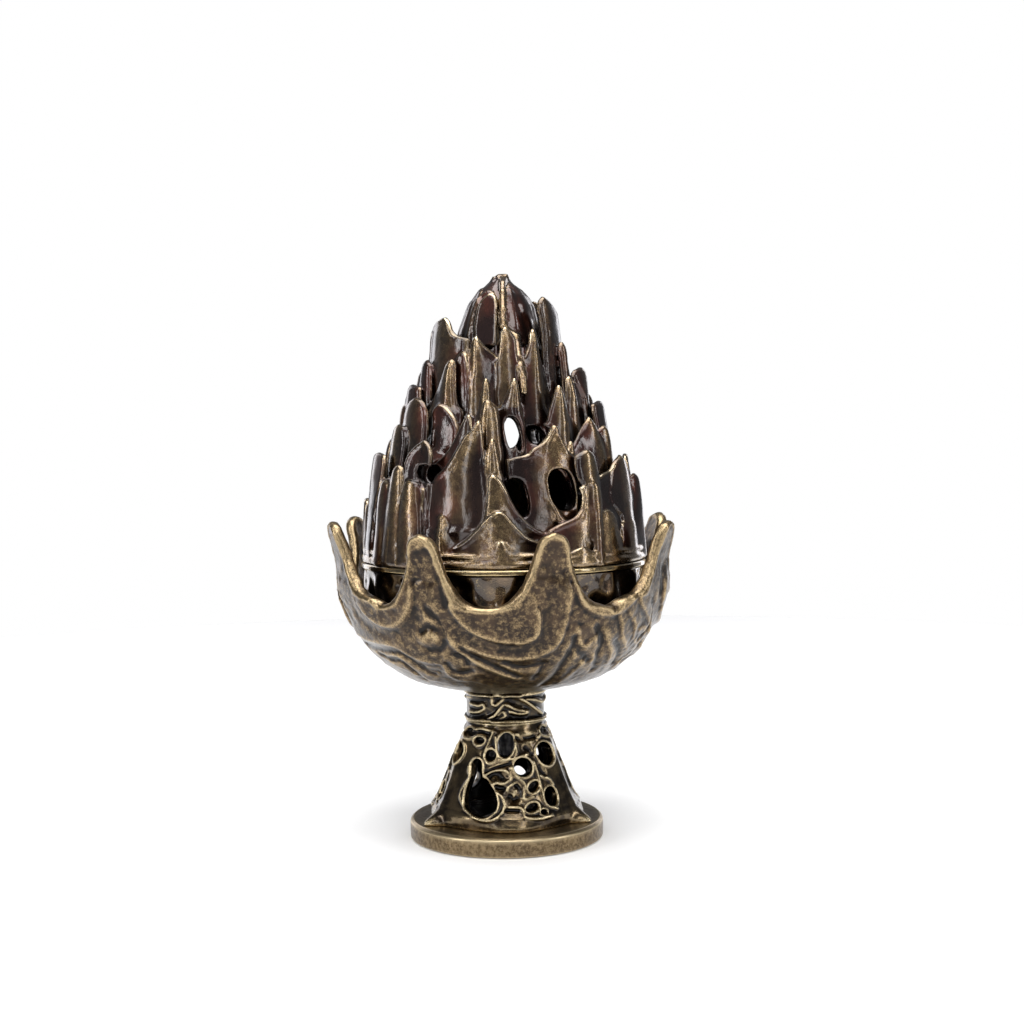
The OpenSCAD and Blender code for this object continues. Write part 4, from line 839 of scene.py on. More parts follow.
def make_stem(h):
    g = Grid((-29, -29, 4.8), (29, 29, 42.5), h)
    rel = Relief(STEM_Z, STEM_R, 0.2)
    for turn in (0, 124, 241):
        for w, a, pts in STEM_LINES:
            rel.line(1.3 * w, 1.1 * a, pts, turn)
        for a, z, ru, rv, tilt, through in STEM_CELLS:
            rel.oval(a + turn, z, ru, rv, tilt, through, 0.5, 1.4)
        rel.pierce(KEYHOLE if turn < 200 else SLIT, turn, 0.55)
    # open cells leave no ridge hanging across them
    rel.up *= np.clip((rel.hole + 0.4) / 0.5, 0, 1)
    x, y = g.ax[0][:, None], g.ax[1][None, :]
    r = np.sqrt(x * x + y * y)
    ang = np.arctan2(x, -y)
    at = rel.slicer(ang)
    zz = g.ax[2]
    Ro = soften(STEM_Z, STEM_R, zz, 1.6)
    so = np.sqrt(1 + np.gradient(Ro, zz) ** 2)
    Ri = np.interp(zz, BORE_Z, BORE_R)
    si = np.sqrt(1 + np.gradient(Ri, zz) ** 2)
    for k, z in enumerate(zz):
        toe = 0
        for t in TOES:
            u = ((ang - math.radians(t) + math.pi) % (2 * math.pi) - math.pi) * r
            toe = toe + 3.7 * np.exp(-((u / 2.5) ** 2)) * (1 - sstep(z, 6.2, 12.0)) ** 1.5 + 0.8 * np.exp(-((u / 2.4) ** 2)) * (1 - sstep(z, 31, 35))
        foot = 0.5 * np.sin(5 * ang + 1) * (1 - sstep(z, 7, 10)) - 0.5 * np.exp(-(((z - 11.2) / 0.8) ** 2))
        shell = (r - Ro[k] - toe - foot - at(rel.up, z) - at(rel.down, z)) / so[k]
        if z > 36.9:
            shell = np.maximum(r - 8.5, z - 41.0)
        shell = smax(shell, 6.12 - z + 0 * r, 0.5)
        well = np.maximum((r - Ri[k]) / si[k], z - 33.6)
        well = np.minimum(well, r - 2.75)
        d = smax(shell, -well, 0.4)
        if z < 36:
            d = smax(d, -np.maximum(at(rel.hole, z), 8.0 - r), 0.5)
        g.d[:, :, k] = d
        # marks the bore and the walls of the holes for painted shade in the stem finish
        g.tag[:, :, k] = sstep(r, Ro[k] - 1.0, Ro[k] - 2.2)
    wobble(g, 5, 1.8, 0.03)
    return g


COLLAR_LINES = [
    (0.4, 0.55, ((-67.2, 44.1), (-30.4, 45.2), (-19.7, 44.7), (-18.4, 43.0), (-12.8, 42.6), (-5.9, 43.7), (1.9, 45.3), (13.5, 45.1), (30.2, 43.4), (44.9, 41.2), (63.7, 38.7))),
    (0.4, 0.55, ((-68.3, 36.7), (-40.5, 37.6), (-22.1, 38.5), (-12.0, 40.1), (-6.0, 41.9), (-1.2, 42.8), (7.5, 42.0), (15.3, 41.1), (32.2, 40.1), (19.3, 39.9), (7.4, 40.6))),
    (0.4, 0.5, ((-16.1, 37.2), (1.5, 37.8), (29.8, 37.1), (71.7, 36.9))),
    (0.35, 0.45, ((-60.5, 42.3), (-42.8, 42.0), (-32.8, 42.4), (-32.5, 41.1), (-45.7, 40.0), (-62.9, 39.7))),
    (0.4, 0.5, ((30.2, 44.0), (45.1, 43.6), (66.7, 42.4), (84.8, 43.3))),
    (0.35, 0.45, ((-10.0, 39.6), (-4.2, 40.6), (-0.4, 39.3), (-7.2, 38.4))),
]


def make_collar(h):
    g = Grid((-14.2, -14.2, 36), (14.2, 14.2, 47.4), h)
    rel = Relief([36.9, 46.4], [12.4, 12.4], 0.15)
    for turn in (0, 180):
        for w, a, pts in COLLAR_LINES:
            rel.line(2.0 * w, 1.1 * a, pts, turn)
    x, y = g.ax[0][:, None], g.ax[1][None, :]
    r = np.sqrt(x * x + y * y)
    at = rel.slicer(np.arctan2(x, -y))
    for k, z in enumerate(g.ax[2]):
        R = 12.1 + 0.8 * float(sstep(z, 44.6, 45.3)) + 0.8 * (1 - float(sstep(z, 37.6, 38.3)))
        d = smax(r - R - 1.35 * at(rel.up, z), np.abs(z - 41.65) - 4.72 + 0 * r, 0.8)
        g.d[:, :, k] = smax(d, 8.7 - r, 0.3)
    wobble(g, 9, 1.2, 0.03)
    return g


# ------------------------------------------------------------------ turned pieces


def fillet(corners):
    """Closed outline (r, z, rounding) -> points with an edge mark: under 0.5 on outer corners, over 0.5 in inner ones."""
    n = len(corners)
    pts = []
    area = sum(corners[i][0] * corners[(i + 1) % n][1] - corners[(i + 1) % n][0] * corners[i][1] for i in range(n))
    for i in range(n):
        p0, p1, p2 = (np.array(corners[(i + k) % n][:2], float) for k in (-1, 0, 1))
        rad = corners[i][2]
        d0, d2 = p0 - p1, p2 - p1
        l0, l2 = np.hypot(*d0), np.hypot(*d2)
        if rad <= 0:
            pts.append((p1[0], p1[1], 0.5))
            continue
        d0, d2 = d0 / l0, d2 / l2
        half = math.acos(max(-1, min(1, float(d0 @ d2)))) / 2
        back = min(rad / max(math.tan(half), 1e-3), 0.48 * l0, 0.48 * l2)
        turn = (d0[0] * d2[1] - d0[1] * d2[0]) * (-1 if area > 0 else 1)
        mark = 0.5 - 0.16 * math.copysign(1, turn) * min(1, abs(math.pi - 2 * half) / 0.8)
        a, b = p1 + d0 * back, p1 + d2 * back
        for t in np.linspace(0, 1, 7):
            q = (1 - t) ** 2 * a + 2 * t * (1 - t) * p1 + t * t * b
            pts.append((q[0], q[1], 0.5 + (mark - 0.5) * (1 - abs(2 * t - 1) ** 2 * 0.6)))
    out = []
    for (r0, z0, e0), (r1, z1, e1) in zip(pts, pts[1:] + pts[:1]):
        m = max(1, int(math.hypot(r1 - r0, z1 - z0) / 1.2))
        for t in range(m):
            out.append((r0 + (r1 - r0) * t / m, z0 + (z1 - z0) * t / m, e0 + (e1 - e0) * t / m))
    return out


def place(name, verts, faces, marks, nodes, body, mat):
    me = bpy.data.meshes.new(name)
    me.from_pydata([tuple(v) for v in np.asarray(verts, float) * MM], [], faces)
    me.validate()
    bm = bmesh.new()
    bm.from_mesh(me)
    lay = bm.verts.layers.float.new("edge")
    cav = bm.verts.layers.float.new("cave")
    bm.verts.ensure_lookup_table()
    for v, e in zip(bm.verts, marks):
        v[lay] = e
        v[cav] = 0.5 + 0.5 * (e - 0.5)
    bmesh.ops.remove_doubles(bm, verts=bm.verts, dist=1e-7)
    bmesh.ops.dissolve_degenerate(bm, dist=1e-8, edges=bm.edges)
    bmesh.ops.recalc_face_normals(bm, faces=bm.faces)
    bm.to_mesh(me)
    bm.free()
    me.polygons.foreach_set("use_smooth", np.ones(len(me.polygons), bool))
    me.materials.append(mat)
    ob = bpy.data.objects.new(name, me)
    bpy.context.scene.collection.objects.link(ob)
    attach(ob, body)
    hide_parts(nodes)
    return ob


def lathe(name, corners, node, body, mat, seg=192, uneven=None):
    """Turned piece from a closed outline, with an optional unevenness (angle, r, z) -> (dr, dz)."""
    prof = fillet(corners)
    n = len(prof)
    verts, marks = [], []
    for k in range(seg):
        a = 2 * math.pi * k / seg
        for r, z, e in prof:
            dr, dz = uneven(a, r, z) if uneven and r > 0.01 else (0, 0)
            verts.append(((r + dr) * math.sin(a), -(r + dr) * math.cos(a), z + dz))
            marks.append(e)
    faces = []
    for k in range(seg):
        b0, b1 = k * n, (k + 1) % seg * n
        for i in range(n):
            j = (i + 1) % n
            if prof[i][0] < 1e-6 and prof[j][0] < 1e-6:
                continue
            faces.append((b0 + i, b1 + i, b1 + j, b0 + j))
    return place(name, verts, faces, marks, node, body, mat)


# ------------------------------------------------------------------ finishes


class Shade:
    """A node material on the Principled shader."""

    def __init__(self, name, **fixed):
        self.m = bpy.data.materials.new(name)
        self.m.use_nodes = True
        self.t = self.m.node_tree
        self.b = self.t.nodes["Principled BSDF"]
        for k, v in fixed.items():
            self.b.inputs[k.replace("_", " ")].default_value = v
        self.co = self.t.nodes.new("ShaderNodeTexCoord").outputs["Object"]

    def put(self, sock, v):
        if isinstance(v, bpy.types.NodeSocket):
            self.t.links.new(v, sock)
        elif isinstance(v, tuple) and len(v) == 3 and sock.type == "RGBA":
            sock.default_value = (*v, 1)
        else:
            sock.default_value = v

    def noise(self, scale, detail=3.0, rough=0.5, twist=0.0, at=None):
        n = self.t.nodes.new("ShaderNodeTexNoise")
        self.t.links.new(at or self.co, n.inputs["Vector"])
        n.inputs["Scale"].default_value = scale
        n.inputs["Detail"].default_value = detail
        n.inputs["Roughness"].default_value = rough
        n.inputs["Distortion"].default_value = twist
        return n.outputs["Fac"]

    def stretch(self, k):
        n = self.t.nodes.new("ShaderNodeMapping")
        self.t.links.new(self.co, n.inputs["Vector"])
        n.inputs["Scale"].default_value = k
        return n.outputs["Vector"]

    def attr(self, name):
        n = self.t.nodes.new("ShaderNodeAttribute")
        n.attribute_name = name
        return n.outputs["Fac"]

    def fit(self, x, a, b, c=0.0, d=1.0):
        n = self.t.nodes.new("ShaderNodeMapRange")
        n.interpolation_type = "SMOOTHSTEP"
        for k, v in enumerate((x, a, b, c, d)):
            self.put(n.inputs[k], v)
        return n.outputs[0]

    def op(self, kind, a, b=0.0, clamp=False):
        n = self.t.nodes.new("ShaderNodeMath")
        n.operation = kind
        n.use_clamp = clamp
        self.put(n.inputs[0], a)
        self.put(n.inputs[1], b)
        return n.outputs[0]

    def mix(self, f, a, b):
        n = self.t.nodes.new("ShaderNodeMix")
        n.data_type = "RGBA"
        self.put(n.inputs[0], f)
        self.put(n.inputs[6], a)
        self.put(n.inputs[7], b)
        return n.outputs[2]

    def bump(self, height, strength, dist):
        n = self.t.nodes.new("ShaderNodeBump")
        n.inputs["Strength"].default_value = strength
        n.inputs["Distance"].default_value = dist
        self.t.links.new(height, n.inputs["Height"])
        self.t.links.new(n.outputs["Normal"], self.b.inputs["Normal"])

    def done(self, colour, rough):
        self.put(self.b.inputs["Base Color"], colour)
        self.put(self.b.inputs["Roughness"], rough)
        return self.m


def hill_bronze():
    """Brown lacquered bronze with painted shade in the hollows, rubbed to brass on tips and ridges, with painted
    glints along the leaf rims.
    """
    m = Shade("hill_bronze", Metallic=1.0, Coat_Weight=1.0, Coat_Roughness=0.06)
    e, c, k, q = m.attr("edge"), m.attr("cave"), m.attr("ridge"), m.attr("rim")
    fine, mid, big = m.noise(2600, 2), m.noise(620, 4), m.noise(95, 3)
    wall = m.mix(m.fit(big, 0.40, 0.66), (0.016, 0.0085, 0.0078), (0.056, 0.0185, 0.0128))
    wall = m.mix(m.fit(m.noise(160, 2, at=m.stretch((1, 1, 0.4))), 0.5, 0.75), wall, (0.032, 0.018, 0.0128))
    # painted shade: the hollows between the leaves go near black where much metal surrounds them
    wall = m.mix(m.fit(c, 0.50, 0.66), wall, (0.008, 0.006, 0.006))
    rub = m.op("ADD", m.fit(e, 0.44, 0.36, 0, 0.35), m.op("MULTIPLY", m.fit(k, 0.10, 0.90), m.fit(mid, 0.32, 0.62, 0.35, 1)))
    rub = m.op("MULTIPLY", rub, m.fit(fine, 0.34, 0.66, 0.45, 1), True)
    # painted highlight, partly rubbed brass: thin pale lines along sharp edges and along the rim bands of the leaves
    # stand for glints
    lip = m.op("MULTIPLY", m.op("MAXIMUM", m.fit(e, 0.39, 0.31, 0, 0.8), m.fit(q, 0.3, 0.9, 0, 0.9)), m.fit(m.noise(210, 3), 0.38, 0.58, 0.35, 1))
    lip = m.op("MULTIPLY", lip, m.fit(k, -0.7, -0.1))
    rub = m.op("MAXIMUM", m.op("MULTIPLY", rub, m.fit(k, -0.7, -0.1, 0.2, 1)), lip)
    brass = m.mix(lip, (0.300, 0.205, 0.102), (0.64, 0.52, 0.34))
    col = m.mix(rub, wall, brass)
    m.bump(m.op("ADD", fine, m.op("ADD", m.op("MULTIPLY", mid, 2.0), m.op("MULTIPLY", m.noise(240, 2), 3.0))), 0.25, 0.0001)
    m.t.links.new(m.b.inputs["Normal"].links[0].from_socket, m.b.inputs["Coat Normal"])
    return m.done(col, m.op("SUBTRACT", m.fit(rub, 0.0, 0.5, 0.36, 0.27), m.fit(lip, 0.2, 0.8, 0, 0.08)))


def bowl_bronze():
    """Brass-brown over a dark patina: black in the cuts, speckled and rubbed on the crests."""
    m = Shade("bowl_bronze", Metallic=1.0, Coat_Weight=0.25, Coat_Roughness=0.14)
    e, c = m.attr("edge"), m.attr("cave")
    fine, mid, big = m.noise(2300, 3, 0.6), m.noise(640, 5, 0.62), m.noise(110, 3)
    worn = m.op("ADD", m.fit(e, 0.495, 0.41, 0, 0.85), m.fit(mid, 0.44, 0.66, 0, 0.62))
    worn = m.op("MULTIPLY", worn, m.fit(fine, 0.38, 0.60, 0.25, 1.1), True)
    worn = m.op("MAXIMUM", worn, m.fit(e, 0.43, 0.36, 0, 0.75))
    dark = m.mix(m.fit(big, 0.4, 0.65), (0.024, 0.0165, 0.0125), (0.050, 0.032, 0.020))
    brass = m.mix(m.fit(e, 0.46, 0.37), (0.28, 0.195, 0.100), (0.40, 0.295, 0.16))
    col = m.mix(worn, dark, brass)
    col = m.mix(m.fit(e, 0.508, 0.562), col, (0.010, 0.008, 0.007))
    m.bump(m.op("ADD", fine, m.op("MULTIPLY", mid, 3.0)), 0.3, 0.00013)
    return m.done(col, m.fit(worn, 0.0, 1.0, 0.30, 0.30))


def stem_bronze(name, low, high):
    """Black lacquer in the sunk ground, bare brass on the raised lines, painted shade inside the stem and its holes.
    """
    m = Shade(name, Metallic=1.0, Coat_Weight=0.3, Coat_Roughness=0.08)
    e, c, k = m.attr("edge"), m.attr("cave"), m.attr("ridge")
    fine, mid, big = m.noise(2600, 2), m.noise(560, 4), m.noise(130, 3)
    rub = m.op("ADD", m.fit(e, 0.492, 0.40, 0, 0.95), m.fit(mid, 0.46, 0.70, 0, 0.35))
    rub = m.op("MULTIPLY", rub, m.fit(fine, 0.32, 0.58, 0.5, 1), True)
    ground = m.mix(m.fit(big, 0.4, 0.65), low, high)
    brass = m.mix(m.fit(e, 0.45, 0.36), (0.26, 0.20, 0.11), (0.54, 0.44, 0.27))
    col = m.mix(rub, ground, brass)
    col = m.mix(m.fit(e, 0.515, 0.575), col, (0.005, 0.004, 0.004))
    # painted shade: near black inside the stem and on the walls of its holes
    col = m.mix(m.fit(k, 0.3, 0.8), col, (0.006, 0.005, 0.004))
    m.bump(m.op("ADD", fine, m.op("MULTIPLY", mid, 2.0)), 0.22, 0.0001)
    return m.done(col, m.op("ADD", m.fit(rub, 0.0, 1.0, 0.2, 0.3), m.fit(k, 0.3, 0.8, 0, 0.4)))


def base_brass():
    """Satin antique brass, darker and mottled on the flats, bright on the bevels."""
    m = Shade("base_brass", Metallic=1.0, Coat_Weight=0.2, Coat_Roughness=0.2)
    e = m.attr("edge")
    fine, mid, big = m.noise(2600, 3, 0.6), m.noise(900, 5, 0.65), m.noise(80, 3)
    tone = m.mix(m.fit(mid, 0.36, 0.64), (0.105, 0.072, 0.038), (0.245, 0.175, 0.094))
    tone = m.mix(m.fit(m.op("MULTIPLY", fine, m.fit(big, 0.3, 0.7, 0.75, 1.25)), 0.52, 0.70, 0, 0.75), tone, (0.085, 0.058, 0.034))
    col = m.mix(m.fit(e, 0.48, 0.38, 0, 0.9), tone, (0.52, 0.42, 0.26))
    col = m.mix(m.fit(e, 0.52, 0.62), col, (0.04, 0.03, 0.02))
    # painted shade: near black where the stem covers the plate
    far = m.t.nodes.new("ShaderNodeVectorMath")
    far.operation = "LENGTH"
    m.t.links.new(m.stretch((1, 1, 0)), far.inputs[0])
    col = m.mix(m.fit(far.outputs["Value"], 0.0165, 0.0185, 1, 0), col, (0.008, 0.006, 0.005))
    m.bump(m.op("ADD", fine, m.op("MULTIPLY", mid, 2.0)), 0.25, 0.0001)
    return m.done(col, m.fit(mid, 0.3, 0.7, 0.40, 0.30))


def cup_bronze():
    """Liner cup: near black lacquer with brown cloud and a rubbed rim."""
    m = Shade("cup_lacquer", Metallic=1.0, Coat_Weight=1.0, Coat_Roughness=0.05)
    e = m.attr("edge")
    fine, mid, big = m.noise(2400, 3), m.noise(420, 4), m.noise(75, 3, at=m.stretch((1, 1, 0.35)))
    col = m.mix(m.fit(big, 0.42, 0.68), (0.030, 0.020, 0.014), (0.125, 0.078, 0.038))
    col = m.mix(m.fit(m.op("MULTIPLY", mid, fine), 0.27, 0.42, 0, 0.75), col, (0.26, 0.185, 0.085))
    col = m.mix(m.fit(e, 0.47, 0.38), col, (0.50, 0.38, 0.18))
    m.bump(m.op("ADD", m.op("MULTIPLY", fine, 0.5), m.op("MULTIPLY", m.noise(140, 2), 6.0)), 0.35, 0.00025)
    return m.done(col, m.fit(mid, 0.3, 0.7, 0.16, 0.26))


def dish_brass():
    """Ember dish: spun brass with turning rings and ash-grey heat marks."""
    m = Shade("dish_brass", Metallic=1.0)
    e = m.attr("edge")
    fine, mid, big = m.noise(2400, 3), m.noise(380, 4), m.noise(90, 3)
    sep = m.t.nodes.new("ShaderNodeVectorMath")
    sep.operation = "LENGTH"
    m.t.links.new(m.stretch((1, 1, 0)), sep.inputs[0])
    ring = m.op("SINE", m.op("MULTIPLY", sep.outputs["Value"], 9000.0))
    col = m.mix(m.fit(mid, 0.35, 0.65), (0.40, 0.29, 0.13), (0.56, 0.43, 0.21))
    col = m.mix(m.fit(big, 0.5, 0.75, 0, 0.8), col, (0.10, 0.085, 0.075))
    col = m.mix(m.fit(e, 0.47, 0.38), col, (0.68, 0.54, 0.30))
    m.bump(m.op("ADD", m.op("MULTIPLY", ring, 0.5), m.op("MULTIPLY", fine, 1.0)), 0.3, 0.00006)
    return m.done(col, m.fit(mid, 0.3, 0.7, 0.42, 0.26))


def steel():
    """Blackened steel fasteners, worn grey on their edges."""
    m = Shade("black_steel", Metallic=1.0)
    e = m.attr("edge")
    fine, mid = m.noise(3000, 3), m.noise(700, 4)
    col = m.mix(m.fit(mid, 0.35, 0.65), (0.030, 0.030, 0.033), (0.060, 0.058, 0.058))
    col = m.mix(m.fit(fine, 0.55, 0.75, 0, 0.6), col, (0.085, 0.060, 0.045))
    col = m.mix(m.fit(e, 0.47, 0.38, 0, 0.8), col, (0.24, 0.24, 0.235))
    m.bump(m.op("ADD", fine, mid), 0.25, 0.00006)
    return m.done(col, m.fit(mid, 0.3, 0.7, 0.48, 0.34))


def felt():
    """Dark green-black wool felt."""
    m = Shade("wool_felt", Metallic=0.0, Sheen_Weight=0.5, Sheen_Roughness=0.5)
    fibre = m.noise(2600, 5, 0.7, 1.4)
    tuft = m.noise(500, 4, 0.6)
    col = m.mix(m.fit(fibre, 0.35, 0.65), (0.012, 0.016, 0.013), (0.055, 0.062, 0.052))
    col = m.mix(m.fit(tuft, 0.45, 0.7, 0, 0.6), col, (0.030, 0.036, 0.030))
    m.bump(m.op("ADD", fibre, tuft), 0.8, 0.0003)
    return m.done(col, m.fit(fibre, 0.3, 0.7, 0.98, 0.85))


def mat_fibre():
    """Heat mat: pressed mineral fibre, off-white with patches of soot."""
    m = Shade("mineral_fibre", Metallic=0.0, Sheen_Weight=0.15, Sheen_Roughness=0.5)
    fibre = m.noise(1800, 5, 0.7, 2.2)
    tuft = m.noise(260, 4, 0.6)
    col = m.mix(m.fit(fibre, 0.33, 0.66), (0.36, 0.34, 0.30), (0.66, 0.63, 0.57))
    col = m.mix(m.fit(tuft, 0.48, 0.72, 0, 0.75), col, (0.27, 0.23, 0.18))
    m.bump(m.op("ADD", fibre, tuft), 0.9, 0.0004)
    return m.done(col, m.fit(fibre, 0.3, 0.7, 0.98, 0.86))


# ------------------------------------------------------------------ assembly

build("lid_casting", make_lid(0.42), "hill_lid", "lid", hill_bronze(), 198000, (0.55, 3.6))
build("bowl_casting", make_bowl(0.5), "petal_bowl", "stand", bowl_bronze(), 198000)
build("stem_casting", make_stem(0.27), "stem", "stand", stem_bronze("stem_bronze", (0.034, 0.024, 0.016), (0.165, 0.118, 0.064)), 190000, (0.5, 2.2))
build("collar_ring", make_collar(0.16), "stem_collar", "stand", stem_bronze("collar_bronze", (0.012, 0.009, 0.007), (0.060, 0.042, 0.023)), 120000, (0.45, 1.6))


def hand_finish(seed, amp):
    """Slow, shallow waviness of a hand-finished casting."""
    rng = np.random.default_rng(seed)
    ph = rng.random(6) * 6.28

    def f(a, r, z):
        d = amp * (0.5 * math.sin(2 * a + ph[0]) + 0.4 * math.sin(5 * a + ph[1] + 0.2 * z) + 0.3 * math.sin(11 * a + ph[2] - 0.3 * z))
        return d, 0.5 * amp * math.sin(7 * a + ph[3] + 0.25 * r)

    return f


lathe("base_plate", [
    (2.75, 4.3, 0.2), (6.5, 4.3, 0.15), (6.5, 1.0, 0.2), (26.25, 1.0, 0.15), (26.25, 0.3, 0.2), (29.8, 0.3, 0.25), (30.0, 0.6, 0.3),
    (30.05, 3.2, 3), (30.0, 5.3, 0.8), (29.1, 6.1, 0.7), (18.7, 6.1, 0.2), (18.7, 7.3, 0.2), (16.5, 7.3, 0.2), (16.5, 6.1, 0.2), (2.75, 6.1, 0.2)],
    "base_disc", "stand", base_brass(), 256, hand_finish(1, 0.03))

def hammered(seed, amp):
    """Upright hammer facets on the outside of the cup, none on its rim or inside."""
    rng = np.random.default_rng(seed)
    ph = rng.random(8) * 6.28

    def f(a, r, z):
        k = float(sstep(r, 41.6, 42.4)) * float(sstep(z, 67, 70)) * (1 - float(sstep(z, 82, 84)))
        d = math.sin(17 * a + 1.6 * math.sin(3 * a + ph[0]) + 0.10 * z) + 0.7 * math.sin(29 * a + ph[1] + 0.9 * math.sin(5 * a + ph[2]) - 0.16 * z)
        d += 0.6 * math.sin(11 * a + ph[3] + 0.55 * z) + 0.4 * math.sin(41 * a + ph[4] + 0.4 * z)
        return amp * k * (d - 0.9), 0.0

    return f


lathe("liner_cup", [
    (0, 59.5, 0), (17.5, 59.5, 1), (20, 56.4, 0.8), (20, 53.0, 0.5), (24, 53.0, 0.5), (24, 55.8, 0.6), (27.5, 56.0, 2), (32, 57.6, 2), (36.2, 60.2, 2),
    (39.8, 63.8, 2), (41.7, 67.0, 2), (42.8, 69.8, 2), (43.0, 72.4, 1), (43.0, 74.4, 0), (43.0, 76.4, 0), (43.0, 78.4, 0), (43.0, 80.4, 0), (43.0, 82.2, 0), (43.0, 84.2, 0.3), (43.9, 84.7, 0.35), (43.9, 85.8, 0.35), (43.6, 86.15, 0.2),
    (41.3, 86.15, 0.35), (41.3, 70.6, 2), (39.7, 66.8, 2), (37.3, 63.6, 2), (33.1, 61.5, 1.5), (0, 61.5, 0)],
    "inner_cup", "cup", cup_bronze(), 384, hammered(2, 0.38))

lathe("ember_dish", [
    (0, 65.0, 0), (9.5, 65.0, 0.3), (10.5, 64.0, 0.25), (12.9, 64.0, 0.3), (14.1, 65.2, 0.6), (17.9, 67.6, 1.2), (19, 69.4, 0.8), (19, 70.2, 0.35),
    (17.7, 70.2, 0.35), (16, 68.6, 1), (12.5, 67.1, 1.2), (3.4, 66.6, 0.5), (3, 69, 0.35), (1.4, 69, 0.2), (1.2, 66.4, 0.2), (0, 66.4, 0)],
    "incense_dish", "dish", dish_brass(), 192, hand_finish(3, 0.025))


def fuzz(seed, amp):
    rng = np.random.default_rng(seed)
    return lambda a, r, z: (amp * rng.standard_normal(), 0.0)


lathe("fibre_mat", [(3, 61.52, 0.3), (30, 61.52, 0.5), (30, 63.9, 0.6), (3, 63.9, 0.4)], "heat_mat", "cup", mat_fibre(), 256, fuzz(4, 0.05))
lathe("felt_pad", [(9, 0.02, 0.2), (26, 0.02, 0.25), (26, 0.98, 0.25), (9, 0.98, 0.2)], "foot_pad", "stand", felt(), 256, fuzz(5, 0.04))
zinc = steel()
lathe("washer_low", [(2.65, 3.32, 0.12), (5, 3.32, 0.2), (5, 4.28, 0.3), (2.65, 4.28, 0.12)], "base_washer", "stand", zinc, 96, hand_finish(6, 0.008))
lathe("washer_high", [(2.65, 50.02, 0.12), (5, 50.02, 0.2), (5, 50.98, 0.3), (2.65, 50.98, 0.12)], "bowl_washer", "stand", zinc, 96, hand_finish(7, 0.008))


def threaded_bolt():
    """Socket button screw: domed head with a hexagon socket, plain shank and rolled thread."""
    seg = 72
    rows = []
    for r, z, e in ((0, 1.75, 0.62), (1.2, 1.7, 0.6)):
        rows.append(([r] * seg, z, e))
    hexa = [1.5 / math.cos((2 * math.pi * k / seg + math.pi / 6) % (math.pi / 3) - math.pi / 6) for k in range(seg)]
    for dz, e in ((1.68, 0.6), (1.0, 0.5), (0.66, 0.42)):
        rows.append((hexa, dz, e))
    rows.append(([v + 0.1 for v in hexa], 0.56, 0.4))
    for r, z, e in ((2.3, 0.55, 0.46), (2.7, 0.58, 0.44), (3.3, 0.80, 0.45), (3.9, 1.15, 0.45), (4.4, 1.7, 0.45), (4.7, 2.3, 0.42), (4.75, 2.7, 0.42), (4.75, 3.1, 0.42),
                    (4.65, 3.28, 0.4), (4.3, 3.3, 0.5), (2.6, 3.3, 0.6)):
        rows.append(([r] * seg, z, e))
    for z in (3.5, 12, 24, 36, 43.0):
        rows.append(([2.46] * seg, z, 0.5))
    z = 43.2
    while z < 58.0:
        fade = min(1.0, (z - 43.2) / 1.0) * min(1.0, (58.3 - z) / 0.8 + 0.2)
        ring = []
        for k in range(seg):
            t = (z / 0.8 - k / seg) % 1.0
            ring.append(2.48 - 0.46 * fade * abs(2 * t - 1))
        rows.append((ring, z, 0.48))
        z += 0.1
    for r, z, e in ((2.1, 58.05, 0.42), (1.75, 58.3, 0.42), (0.9, 58.3, 0.5), (0, 58.3, 0.5)):
        rows.append(([r] * seg, z, e))
    verts, marks, faces = [], [], []
    for ring, z, e in rows:
        for k, r in enumerate(ring):
            a = 2 * math.pi * k / seg
            verts.append((r * math.sin(a), -r * math.cos(a), z))
            marks.append(e)
    for i in range(len(rows) - 1):
        for k in range(seg):
            faces.append((i * seg + k, i * seg + (k + 1) % seg, (i + 1) * seg + (k + 1) % seg, (i + 1) * seg + k))
    return place("tie_screw", verts, faces, marks, "tie_bolt", "stand", zinc)


def hex_nut():
    """Hexagon nut with chamfered corners and a countersunk, threaded bore."""
    seg, z0, h, af = 96, 51.02, 4.66, 8.0
    rows = []
    flat = [af / 2 / math.cos((2 * math.pi * k / seg + math.pi / 6) % (math.pi / 3) - math.pi / 6) for k in range(seg)]
    for z in np.arange(0.55, h - 0.5, 0.1):
        rows.append(([2.5 + 0.12 * abs(2 * ((z / 0.8 - k / seg) % 1) - 1) for k in range(seg)], z, 0.55))
    rows.append(([2.95] * seg, h - 0.05, 0.42))
    rows.append(([3.1] * seg, h, 0.46))
    rows.append(([3.75] * seg, h, 0.46))
    for dz, lim in ((0.03, 3.9), (0.25, 4.3), (0.5, 4.7)):
        rows.append(([min(v, lim) for v in flat], h - dz, 0.43))
    rows.append((flat, h * 0.5, 0.5))
    for dz, lim in ((0.5, 4.7), (0.25, 4.3), (0.03, 3.9)):
        rows.append(([min(v, lim) for v in flat], dz, 0.43))
    rows.append(([3.75] * seg, 0, 0.46))
    rows.append(([3.1] * seg, 0, 0.46))
    rows.append(([2.95] * seg, 0.05, 0.42))
    verts, marks, faces = [], [], []
    for ring, z, e in rows:
        for k, r in enumerate(ring):
            a = 2 * math.pi * k / seg
            verts.append((r * math.cos(a), r * math.sin(a), z0 + z))
            marks.append(e)
    n = len(rows)
    for i in range(n):
        for k in range(seg):
            faces.append((i * seg + k, i * seg + (k + 1) % seg, (i + 1) % n * seg + (k + 1) % seg, (i + 1) % n * seg + k))
    return place("lock_nut", verts, faces, marks, "bowl_nut", "stand", zinc)


threaded_bolt()
hex_nut()

# ------------------------------------------------------------------ stage

